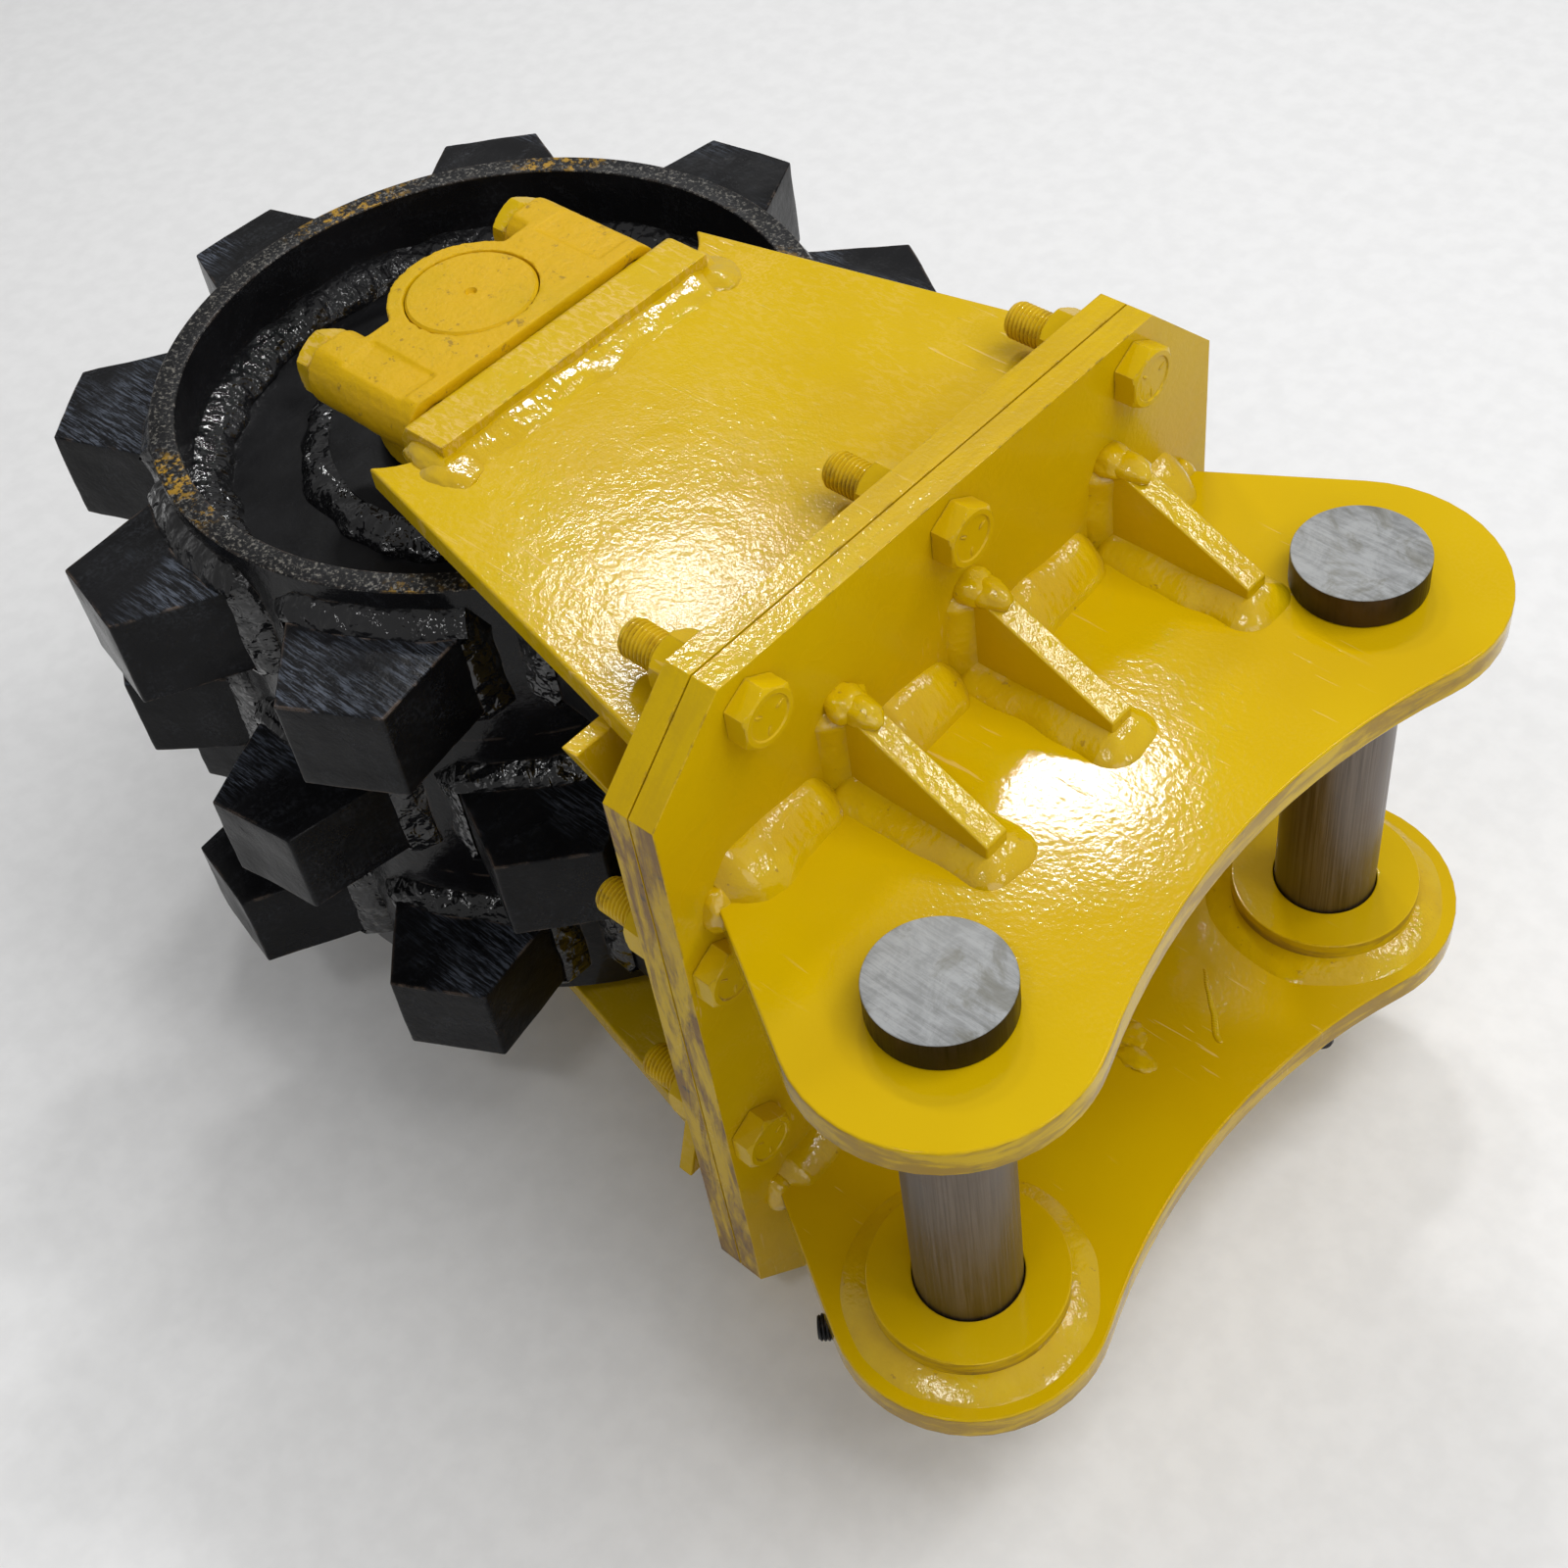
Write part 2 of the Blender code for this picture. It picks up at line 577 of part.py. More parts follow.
def flange_bolt_places():
    places = []
    for level in (FLANGE_ROW_Z, -FLANGE_ROW_Z):
        places += [(y, level) for y in (-FLANGE_ROW_Y, 0.0, FLANGE_ROW_Y)]
    for side in (-FLANGE_SIDE_Y, FLANGE_SIDE_Y):
        places += [(side, level) for level in FLANGE_SIDE_Z]
    return places


def build_flanges(parent):
    reach = M16[0] + CLEARANCE
    holes = [(y, z, reach) for y, z in flange_bolt_places()]
    hanger_back = FLANGE_FRONT_X - FLANGE_THICKNESS
    wheel_front = hanger_back - FLANGE_JOINT_GAP
    outline = flange_outline()
    hanger = slab("hanger_flange", outline, hanger_back, FLANGE_FRONT_X, holes, "X", 18)
    wheel = slab("wheel_flange", outline, wheel_front - FLANGE_THICKNESS, wheel_front, holes, "X", 18)
    piece("hanger_flange", hanger, (YELLOW, 0.3, 0.0), parent)
    piece("wheel_flange", wheel, (YELLOW, 0.3, 0.0), parent)


def build_flange_bolts(parent):
    nut_at = FLANGE_FRONT_X - 2 * FLANGE_THICKNESS - FLANGE_JOINT_GAP - GAP
    end_at = nut_at - FLANGE_BOLT_TAIL
    for number, (y, z) in enumerate(flange_bolt_places(), 1):
        name = "flange_bolt_%02d" % number
        mesh = bolt_mesh(name, M16, FLANGE_FRONT_X + GAP, nut_at, end_at)
        piece(name, mesh, (YELLOW, 0.3, 0.0), parent, (0, y, z))


def build_ears(parent):
    outline = ear_outline()
    holes = [(PIN_X, side * PIN_Y, PIN_HOLE_R) for side in (-1, 1)]
    upper = slab("ear_plate_upper", outline, EAR_UPPER_TOP - EAR_THICKNESS, EAR_UPPER_TOP, holes)
    lower = slab("ear_plate_lower", outline, EAR_LOWER_BOTTOM, EAR_LOWER_BOTTOM + EAR_THICKNESS, holes)
    piece("ear_plate_upper", upper, (YELLOW, 0.3, 0.0), parent)
    piece("ear_plate_lower", lower, (YELLOW, 0.3, 0.0), parent)


def build_gussets(parent):
    """Three on the outside of each ear: a short land at the flange, a slope, and a blunt nose."""
    x0 = FLANGE_FRONT_X + GAP
    outline = [(x0, 0.0), (x0 + GUSSET_LENGTH, 0.0), (x0 + GUSSET_LENGTH, GUSSET_NOSE),
               (x0 + GUSSET_LAND, GUSSET_HEIGHT), (x0, GUSSET_HEIGHT)]
    half = GUSSET_THICKNESS / 2
    for number, (upper_y, lower_y) in enumerate(zip(GUSSET_UPPER_Y, GUSSET_LOWER_Y), 1):
        up = slab("gusset", outline, -half, half, normal="Y")
        down = mirrored(up, 0.0)
        top = (0, upper_y, EAR_UPPER_TOP + GAP)
        bottom = (0, lower_y, EAR_LOWER_BOTTOM - GAP)
        piece("gusset_upper_%d" % number, up, (YELLOW, 0.3, 0.0), parent, top)
        piece("gusset_lower_%d" % number, down, (YELLOW, 0.3, 0.0), parent, bottom)


def build_pin_bosses(parent):
    profile = [(PIN_HOLE_R, 0.0), (BOSS_R, 0.0), (BOSS_R, BOSS_HEIGHT), (PIN_HOLE_R, BOSS_HEIGHT)]
    levels = (("upper", EAR_UPPER_TOP - EAR_THICKNESS - GAP - BOSS_HEIGHT),
              ("lower", EAR_LOWER_BOTTOM + EAR_THICKNESS + GAP))
    for level_name, z in levels:
        for side_name, side in (("left", -1), ("right", 1)):
            name = "pin_boss_%s_%s" % (level_name, side_name)
            mesh = turned(name, profile, hollow=True)
            piece(name, mesh, (YELLOW, 0.3, 0.0), parent, (PIN_X, side * PIN_Y, z))


def build_pins(parent):
    """Headed pins, each locked below the lower ear by a collar and a bolt through both."""
    lock_z = EAR_LOWER_BOTTOM - GAP - PIN_COLLAR_HEIGHT / 2
    reach = LOCK_BOLT_R + GAP
    for name, side, degrees in (("left", -1, LOCK_BOLT_DEG[0]), ("right", 1, LOCK_BOLT_DEG[1])):
        place = (PIN_X, side * PIN_Y, 0)
        turn = Matrix.Rotation(math.radians(degrees + 180), 4, "Z")
        head_low = EAR_UPPER_TOP + GAP
        head_top = head_low + PIN_HEAD_HEIGHT
        stations = [(PIN_R - PIN_CHAMFER, PIN_END_Z), (PIN_R, PIN_END_Z + PIN_CHAMFER),
                    (PIN_R, head_low), (PIN_HEAD_R, head_low),
                    (PIN_HEAD_R, head_top - PIN_HEAD_CHAMFER), (PIN_HEAD_R - PIN_HEAD_CHAMFER, head_top)]
        pin = turned("pin", stations)
        half = PIN_COLLAR_HEIGHT / 2
        profile = [(PIN_HOLE_R, lock_z - half), (PIN_COLLAR_R, lock_z - half),
                   (PIN_COLLAR_R, lock_z + half), (PIN_HOLE_R, lock_z + half)]
        collar = turned("collar", profile, hollow=True)
        drilled = []
        for body in (pin, collar):
            hole = turned("hole", [(reach, -CUT), (reach, CUT)], 18, axis="X")
            moved(hole, (0, 0, lock_z), turn)
            drilled.append(combined(body.name, body, [hole], "DIFFERENCE"))
        piece("pin_" + name, drilled[0], (DARK_STEEL, 0.35, 1.0), parent, place)
        piece("pin_collar_" + name, drilled[1], (YELLOW, 0.35, 0.0), parent, place)
        seat = PIN_COLLAR_R + GAP
        bolt = bolt_mesh("bolt", M12, seat, -seat, -LOCK_BOLT_REACH)
        moved(bolt, (0, 0, lock_z), turn)
        piece("pin_lock_bolt_" + name, bolt, (BLACK, 0.4, 0.6), parent, place)


def main():
    clear_scene()
    centre = empty("wheel_centre", assembly_offset())
    drum = empty("drum_axis", (0, 0, DRUM_MID_Z), centre)
    build_drum_rings(drum)
    build_webs(drum)
    build_roller(drum)
    build_seals(drum, centre)
    build_shaft(centre)
    build_collars(centre)
    build_collar_bolts(centre)
    build_bars(centre)
    build_side_plates(centre)
    build_cross_plate(centre)
    build_flanges(centre)
    build_flange_bolts(centre)
    build_ears(centre)
    build_gussets(centre)
    build_pin_bosses(centre)
    build_pins(centre)
    bpy.context.view_layer.update()


main()
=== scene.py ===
import math

import bmesh
import bpy
from mathutils import Matrix, Vector, noise


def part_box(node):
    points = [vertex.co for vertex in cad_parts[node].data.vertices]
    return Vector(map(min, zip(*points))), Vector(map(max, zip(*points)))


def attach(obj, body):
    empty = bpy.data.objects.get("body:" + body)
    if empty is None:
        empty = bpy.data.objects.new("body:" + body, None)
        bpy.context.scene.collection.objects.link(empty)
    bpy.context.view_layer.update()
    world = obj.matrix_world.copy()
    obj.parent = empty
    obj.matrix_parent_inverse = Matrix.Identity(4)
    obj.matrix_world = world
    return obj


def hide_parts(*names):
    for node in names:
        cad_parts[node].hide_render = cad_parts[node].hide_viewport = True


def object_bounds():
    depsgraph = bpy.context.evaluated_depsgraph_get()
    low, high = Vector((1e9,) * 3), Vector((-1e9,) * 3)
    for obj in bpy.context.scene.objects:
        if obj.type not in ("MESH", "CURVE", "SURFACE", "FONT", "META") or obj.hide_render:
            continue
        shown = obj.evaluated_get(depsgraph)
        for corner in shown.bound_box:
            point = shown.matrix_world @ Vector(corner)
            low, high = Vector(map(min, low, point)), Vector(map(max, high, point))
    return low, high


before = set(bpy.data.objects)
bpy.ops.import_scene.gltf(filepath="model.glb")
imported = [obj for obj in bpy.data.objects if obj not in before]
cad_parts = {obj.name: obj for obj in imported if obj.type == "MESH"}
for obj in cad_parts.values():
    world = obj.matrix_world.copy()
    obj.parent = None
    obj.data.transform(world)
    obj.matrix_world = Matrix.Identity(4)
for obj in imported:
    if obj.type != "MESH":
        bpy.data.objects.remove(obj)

CAD_LOW, CAD_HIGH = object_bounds()
X = Vector((1.0, 0.0, 0.0))
Y = Vector((0.0, 1.0, 0.0))
Z = Vector((0.0, 0.0, 1.0))


# Places read from the frame --------------------------------

def low(node):
    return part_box(node)[0]


def high(node):
    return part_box(node)[1]


def middle(node):
    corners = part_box(node)
    return (corners[0] + corners[1]) / 2


def faces(level, node):
    """The way out of the assembly at a level, and a node's outer and inner height there."""
    a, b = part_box(node)
    return (Z, b.z, a.z) if level == "upper" else (-Z, a.z, b.z)


AXLE = middle("roller_shaft")
AXLE_FOOT = Vector((AXLE.x, AXLE.y, 0.0))
DRUM_WALL = 0.012
DRUM_BORE_R = (high("web_disc_upper").x - low("web_disc_upper").x) / 2 + 0.0006
DRUM_R = DRUM_BORE_R + DRUM_WALL
SEAM = 0.00015            # closes the gap between the shell's three rings
RIM_EDGE = 0.0014
FEET_PER_ROW = 9
FIRST_FOOT_DEG = 18.0
FOOT_ROOT_R = 0.147
FOOT_TIP_R = 0.2036
FOOT_ROOT_WIDTH = 0.0835
FOOT_TIP_WIDTH = 0.048
FOOT_LENGTH = 0.047
ROW_PITCH = 0.093
ROLLER_R = (high("roller_shell").x - low("roller_shell").x) / 2
SHAFT_R = 0.0294
PIN_R = 0.02275
BOSS_R = (high("pin_boss_lower_left").x - low("pin_boss_lower_left").x) / 2
FLANGE_FRONT = high("hanger_flange").x
HEX_SHARP = 18.0          # degrees above which a hexagon's edges stay crisp
HEAD_HEIGHT = 0.010
DISH_DEPTH = 0.0006       # of the dished end of a bolt's head
TINY_R = 0.0008           # where a turned face closes at its centre
SEAT_GAP = 0.0003         # between a fastener and its seat, as in the CAD
FLANGE_HEAD, FLANGE_SHANK_R, FLANGE_PITCH = 0.024, 0.008, 0.002
COLLAR_HEAD, COLLAR_SHANK_R, COLLAR_PITCH = 0.027, 0.009, 0.0025
LOCK_HEAD, LOCK_SHANK_R, LOCK_PITCH = 0.019, 0.006, 0.00175
LOCK_SEAT = 0.0423        # from the pin's axis to the lock bolt's head and nut
LOCK_REACH = 0.066
RIB_ROLL_R = 0.011        # the rolled corner of a gusset
BAR_WORN_R = 0.0075       # the bar's worn corner
PAINT_FILLET = 0.0022     # round of an edge under thick paint
WINDOW_AWAY = 2.2         # from the windows to what mirrors them


# Objects ---------------------------------------------------

def add_piece(name, mesh, body, materials, nodes=(), smooth=32.0, flats=False):
    """Link a mesh as a named piece that rides on a body and may stand for CAD nodes.

    flats keeps large flat faces flat-shaded beside their rounded edges.
    """
    mesh.name = name
    made = linked(name, mesh)
    for item in materials:
        mesh.materials.append(item)
    mesh.shade_smooth()
    mesh.set_sharp_from_angle(angle=math.radians(smooth))
    if flats:
        weighted = made.modifiers.new("face_weighted", "WEIGHTED_NORMAL")
        weighted.keep_sharp = True
        weighted.weight = 100
    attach(made, body)
    if nodes:
        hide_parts(*nodes)
    return made


def yellow_piece(name, mesh, node, *materials):
    """A painted piece of the frame: a plate that stands for a node, or a weld without one."""
    add_piece(name, mesh, "frame", materials, [node] if node else (),
              flats=node is not None)


def linked(name, data):
    """A new object in the scene."""
    made = bpy.data.objects.new(name, data)
    bpy.context.scene.collection.objects.link(made)
    return made


def applied(holder):
    """The mesh of an object with its modifiers applied; the object goes."""
    bpy.context.view_layer.update()
    graph = bpy.context.evaluated_depsgraph_get()
    result = bpy.data.meshes.new_from_object(holder.evaluated_get(graph))
    bpy.data.objects.remove(holder, do_unlink=True)
    return result


def to_mesh(bm, name="piece"):
    bmesh.ops.recalc_face_normals(bm, faces=bm.faces)
    mesh = bpy.data.meshes.new(name)
    bm.to_mesh(mesh)
    bm.free()
    return mesh


def merge(parts):
    """One mesh from several, keeping each part's material numbers."""
    bm = bmesh.new()
    for mesh in parts:
        bm.from_mesh(mesh)
    mesh = bpy.data.meshes.new("merged")
    bm.to_mesh(mesh)
    bm.free()
    for part in parts:
        bpy.data.meshes.remove(part)
    return mesh


def cad_solid(node):
    """The CAD node's shape with its flat faces whole again."""
    bm = bmesh.new()
    bm.from_mesh(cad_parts[node].data)
    bmesh.ops.remove_doubles(bm, verts=bm.verts, dist=0.00001)
    bmesh.ops.dissolve_limit(bm, angle_limit=math.radians(1), verts=bm.verts, edges=bm.edges)
    return bm


def round_edges(bm, width, segments=3, above=30.0):
    sharp = [edge for edge in bm.edges if edge.calc_face_angle(0.0) > math.radians(above)]
    bmesh.ops.bevel(bm, geom=sharp, offset=width, segments=segments, profile=0.5,
                    affect="EDGES", clamp_overlap=True)


def plate_mesh(node, edge):
    bm = cad_solid(node)
    round_edges(bm, edge)
    return to_mesh(bm, node)


def skin(bm, loops, closed=False):
    """Join loops of vertices in turn, then close the shape on itself or cap its two ends."""
    pairs = list(zip(loops, loops[1:]))
    if closed:
        pairs.append((loops[-1], loops[0]))
    for first, second in pairs:
        for i in range(len(first)):
            j = (i + 1) % len(first)
            bm.faces.new((first[i], first[j], second[j], second[i]))
    if not closed:
        bm.faces.new(loops[0])
        bm.faces.new(loops[-1])


# Turned and swept shapes -----------------------------------

def lathe(profile, centre, axis="Z", count=96, hollow=False):
    """Turn (radius, height) stations about an axis; a radius may be a function of the angle."""
    bm = bmesh.new()
    loops = []
    for radius, height in profile:
        loops.append([])
        for step in range(count):
            angle = 2 * math.pi * step / count
            reach = radius(angle) if callable(radius) else radius
            spot = (reach * math.cos(angle), reach * math.sin(angle), height)
            loops[-1].append(bm.verts.new(spot))
    skin(bm, loops, hollow)
    if axis == "X":
        bmesh.ops.rotate(bm, verts=bm.verts, matrix=Matrix.Rotation(math.radians(90), 3, "Y"))
    bmesh.ops.translate(bm, verts=bm.verts, vec=centre)
    return to_mesh(bm)


def rounded_profile(stations, radius):
    """Round the corners of an open (radius, height) profile."""
    steps = 3
    result = [stations[0]]
    for before, corner, after in zip(stations, stations[1:], stations[2:]):
        here = Vector(corner)
        back = Vector(before) - here
        ahead = Vector(after) - here
        cut = min(radius, back.length * 0.45, ahead.length * 0.45)
        start = here + back.normalized() * cut
        end = here + ahead.normalized() * cut
        for step in range(steps + 1):
            t = step / steps
            point = start * (1 - t) ** 2 + here * 2 * t * (1 - t) + end * t ** 2
            result.append((point.x, point.y))
    result.append(stations[-1])
    return result


def wobble(position, seed=0.0):
    return noise.noise(Vector((position, seed * 7.31, seed * 1.7)))


def weld(path, along, up, legs, seed, round_power=1.4, ripple=0.00006, pitch=0.0036, rough=0.16,
         grain=0.03, closed=False, swell=0.0):
    """Fillet weld bead. path follows the corner; along and up give the two legs' directions, one
    for the whole bead or a list with one for each point, and legs their lengths. Ripples lie
    across the bead like overlapping coins."""
    section = 11
    sink = 0.0005
    lengths = [0.0]
    for before, after in zip(path, path[1:]):
        lengths.append(lengths[-1] + (after - before).length)
    total = lengths[-1]
    bm = bmesh.new()
    rows = []
    for index, point in enumerate(path):
        s = lengths[index]
        a_dir = along[index] if isinstance(along, list) else along
        b_dir = up[index] if isinstance(up, list) else up
        size = 1.0
        if closed:
            mix = s / (total + (path[0] - path[-1]).length)
            drift = (1 - mix) * wobble(s * 55, seed) + mix * wobble((s - total) * 55, seed)
            drift_b = (1 - mix) * wobble(s * 43, seed + 3) + mix * wobble((s - total) * 43, seed + 3)
        else:
            drift = wobble(s * 55, seed)
            drift_b = wobble(s * 43, seed + 3)
            from_end = min(s, total - s) / (max(legs) * 0.7)
            size = 0.35 + 0.65 * math.sin(min(1.0, from_end) * math.pi / 2)
            size += swell * math.exp(-((s - legs[0]) / legs[0]) ** 2)
        a_leg = legs[0] * (1 + rough * drift) * size
        b_leg = legs[1] * (1 + rough * drift_b) * size
        row = []
        for k in range(section):
            phi = math.pi / 2 * k / (section - 1)
            c = max(0.0, math.cos(phi))
            sn = max(0.0, math.sin(phi))
            reach = (c ** round_power + sn ** round_power) ** (-1 / round_power)
            crest = math.sin(2 * phi)
            wave = (s / pitch + 0.45 * crest + 0.5 * drift) % 1.0
            height = ripple / max(legs) * (1 + 1.6 * drift_b)
            reach *= 1 + height * crest * math.sin(2 * math.pi * wave)
            reach *= 1 + grain * noise.noise(Vector((s * 75, phi * 1.5, seed)))
            offset = a_dir * (a_leg * reach * c) + b_dir * (b_leg * reach * sn)
            row.append(bm.verts.new(point + offset - a_dir * sink * sn - b_dir * sink * c))
        row.append(bm.verts.new(point - a_dir * sink - b_dir * sink))
        rows.append(row)
    skin(bm, rows, closed)
    return to_mesh(bm, "weld")


def blob(centre, radii, seed, turn=None, lump=0.14):
    """A lump of weld metal: a ball pulled out of round."""
    bm = bmesh.new()
    bmesh.ops.create_icosphere(bm, subdivisions=4, radius=1.0)
    for vert in bm.verts:
        push = 1 + lump * noise.noise(vert.co * 1.3 + Vector((seed, 0, 0)))
        push += 0.3 * lump * noise.noise(vert.co * 3.5 + Vector((0, seed, 0)))
        vert.co = Vector((vert.co.x * radii[0], vert.co.y * radii[1], vert.co.z * radii[2])) * push
    if turn is not None:
        bmesh.ops.rotate(bm, verts=bm.verts, matrix=turn)
    bmesh.ops.translate(bm, verts=bm.verts, vec=centre)
    return to_mesh(bm, "blob")


def line(start, end, step=0.001):
    count = max(2, int((end - start).length / step))
    return [start.lerp(end, i / count) for i in range(count + 1)]


def circle(centre, radius):
    step = 0.0012
    count = int(2 * math.pi * radius / step)
    return [centre + radius * Vector((math.cos(2 * math.pi * i / count),
                                      math.sin(2 * math.pi * i / count), 0.0)) for i in range(count)]


def ring_weld(centre, radius, inward, up, legs, seed, **look):
    path = circle(centre, radius)
    sign = -1.0 if inward else 1.0
    along = [(point - centre).normalized() * sign for point in path]
    return weld(path, along, up, legs, seed, closed=True, **look)


# Materials -------------------------------------------------

class Paint:
    """Builds one node material around a Principled shader."""

    def __init__(self, name):
        self.material = bpy.data.materials.new(name)
        self.material.use_nodes = True
        self.tree = self.material.node_tree
        self.shader = self.tree.nodes["Principled BSDF"]
        self.coordinates = self.add("ShaderNodeTexCoord").outputs["Object"]

    def add(self, kind):
        return self.tree.nodes.new(kind)

    def link(self, source, target):
        self.tree.links.new(source, target)

    def put(self, node, socket, value):
        if isinstance(value, bpy.types.NodeSocket):
            self.link(value, node.inputs[socket])
        else:
            node.inputs[socket].default_value = value

    def math(self, operation, a, b=0.0):
        node = self.add("ShaderNodeMath")
        node.operation = operation
        self.put(node, 0, a)
        self.put(node, 1, b)
        return node.outputs[0]

    def times(self, a, b):
        return self.math("MULTIPLY", a, b)

    def stretched(self, scale, turn=(0.0, 0.0, 0.0)):
        node = self.add("ShaderNodeMapping")
        node.inputs["Scale"].default_value = scale
        node.inputs["Rotation"].default_value = [math.radians(a) for a in turn]
        self.link(self.coordinates, node.inputs["Vector"])
        return node.outputs[0]

    def noise(self, scale, detail=4.0, rough=0.55, warp=0.0, where=None):
        node = self.add("ShaderNodeTexNoise")
        settings = {"Scale": scale, "Detail": detail, "Roughness": rough, "Distortion": warp}
        for socket, value in settings.items():
            node.inputs[socket].default_value = value
        self.link(where if where is not None else self.coordinates, node.inputs["Vector"])
        return node.outputs["Fac"]

    def band(self, value, start, end, low_value=0.0, high_value=1.0):
        node = self.add("ShaderNodeMapRange")
        node.interpolation_type = "SMOOTHSTEP"
        self.put(node, 0, value)
        for socket, number in enumerate((start, end, low_value, high_value), 1):
            node.inputs[socket].default_value = number
        return node.outputs[0]

    def blend(self, share, a, b):
        node = self.add("ShaderNodeMix")
        node.data_type = "RGBA"
        self.put(node, 0, share)
        self.put(node, 6, a)
        self.put(node, 7, b)
        return node.outputs[2]

    def edges(self, radius):
        """About 1 at convex and concave edges, 0 on flats."""
        soft = self.add("ShaderNodeBevel")
        soft.samples = 4
        soft.inputs["Radius"].default_value = radius
        plain = self.add("ShaderNodeNewGeometry")
        dot = self.add("ShaderNodeVectorMath")
        dot.operation = "DOT_PRODUCT"
        self.link(soft.outputs[0], dot.inputs[0])
        self.link(plain.outputs["Normal"], dot.inputs[1])
        return self.band(dot.outputs["Value"], 0.985, 0.80)

    def facing(self, direction):
        """1 where the surface's own normal points along a direction of the object."""
        turned = self.add("ShaderNodeTexCoord")
        dot = self.add("ShaderNodeVectorMath")
        dot.operation = "DOT_PRODUCT"
        self.link(turned.outputs["Normal"], dot.inputs[0])
        dot.inputs[1].default_value = direction
        return dot.outputs["Value"]

    def bump(self, layers):
        """Stack of (height, strength, distance) bumps into the shader's normal."""
        normal = None
        for height, strength, distance in layers:
            node = self.add("ShaderNodeBump")
            node.inputs["Strength"].default_value = strength
            node.inputs["Distance"].default_value = distance
            self.link(height, node.inputs["Height"])
            if normal is not None:
                self.link(normal, node.inputs["Normal"])
            normal = node.outputs[0]
        self.link(normal, self.shader.inputs["Normal"])
        self.link(normal, self.shader.inputs["Coat Normal"])

    def finish(self, colour, rough, metallic=0.0, coat=0.0, shine=0.3):
        settings = {"Base Color": colour, "Roughness": rough, "Metallic": metallic,
                    "Specular IOR Level": shine, "Coat Weight": coat, "Coat Roughness": COAT_ROUGH}
        for socket, value in settings.items():
            self.put(self.shader, socket, value)
        return self.material


GOLD = (0.600, 0.400, 0.0008, 1.0)
DEEP_GOLD = (0.545, 0.345, 0.0008, 1.0)
PALE_GOLD = (0.68, 0.44, 0.06, 1.0)
CAST_GOLD = (0.610, 0.362, 0.003, 1.0)
TAN = (0.21, 0.110, 0.022, 1.0)
BARE = (0.075, 0.052, 0.034, 1.0)
COAT_ROUGH = 0.05
JET = (0.004, 0.004, 0.0045, 1.0)
SOFT_BLACK = (0.008, 0.008, 0.009, 1.0)


def yellow(name, dust=0.35, wear=0.6, gloss=0.2, grain=1.0, side_wear=0.0, plate_normal=(0, 0, 1),
           shaded_worn_side=None, scrape=0.0):
    """Thick golden enamel: orange peel, slow runs, dusty pale patches and paint lost at edges; on a
    flange the brown on the ±Y-facing sides is partly painted shade.
    """
    p = Paint(name)
    tone = p.band(p.noise(7, 3), 0.3, 0.7)
    colour = p.blend(tone, GOLD, DEEP_GOLD)
    patch = p.band(p.noise(11, 5, 0.6, 0.6), 0.52, 0.72)
    speck = p.band(p.noise(700, 2), 0.42, 0.62)
    dusty = p.times(p.times(patch, speck), dust)
    colour = p.blend(dusty, colour, PALE_GOLD)
    streak = p.noise(1.0, 2, 0.5, 0.4, p.stretched((30, 420, 60), (0, 0, 38)))
    streak = p.times(p.band(streak, 0.66, 0.70), p.band(p.noise(9, 2), 0.5, 0.62))
    streak = p.times(streak, 0.55)
    colour = p.blend(streak, colour, (0.74, 0.52, 0.16, 1.0))
    if scrape:
        grazed = p.noise(1.0, 5, 0.75, 0.6, p.stretched((160, 420, 200), (0, 0, -35)))
        grazed = p.times(p.band(grazed, 0.46, 0.60), p.band(p.noise(40, 4), 0.36, 0.58))
        colour = p.blend(p.times(grazed, scrape), colour, (0.80, 0.55, 0.22, 1.0))
    edge = p.edges(0.0016)
    chips = p.band(p.noise(95, 5, 0.7), 0.50, 0.60)
    rub = p.times(edge, p.band(p.noise(26, 4), 0.35, 0.65))
    colour = p.blend(p.times(rub, 0.7 * wear), colour, PALE_GOLD)
    lost = p.times(p.times(edge, chips), wear)
    colour = p.blend(lost, colour, p.blend(p.band(p.noise(60, 3), 0.45, 0.6), TAN, BARE))
    if side_wear:
        flat = p.math("ABSOLUTE", p.facing(plate_normal))
        side = p.band(flat, 0.6, 0.4)
        along = [115 if share else 20 for share in plate_normal]
        raw = p.band(p.noise(1.0, 5, 0.7, 0.5, p.stretched(along)), 0.40, 0.60)
        bare = p.times(p.times(side, raw), side_wear)
        # On a flange the bare patches are kept to its ±Y-facing sides; their brown is partly worn
        # paint and partly painted shade.
        if shaded_worn_side:
            away = p.band(p.math("ABSOLUTE", p.facing(shaded_worn_side)), 0.8, 0.9, 0.12, 1.0)
            bare = p.times(bare, away)
        colour = p.blend(bare, colour, p.blend(p.band(p.noise(140, 4), 0.56, 0.70), TAN, BARE))
    rough = p.math("ADD", p.band(p.noise(18, 3), 0.3, 0.7, gloss * 0.8, gloss * 1.3),
                   p.times(p.math("ADD", dusty, lost), 0.35))
    p.bump([(p.noise(420, 2), 0.24 * grain, 0.0006), (p.noise(38, 2), 0.35 * grain, 0.0010),
            (streak, 0.2, 0.0005)])
    return p.finish(colour, rough, coat=0.3, shine=0.06)


def yellow_weld(name):
    """The same enamel, poured thick and glossy over weld metal."""
    p = Paint(name)
    tone = p.band(p.noise(30, 3), 0.35, 0.65)
    colour = p.blend(tone, GOLD, DEEP_GOLD)
    pits = p.band(p.noise(260, 2), 0.68, 0.76)
    colour = p.blend(p.times(pits, 0.5), colour, TAN)
    rough = p.band(p.noise(40, 2), 0.3, 0.7, 0.10, 0.2)
    p.bump([(p.noise(260, 3), 0.42, 0.0010), (p.noise(90, 2), 0.35, 0.0014)])
    return p.finish(colour, rough, coat=0.8, shine=0.3)


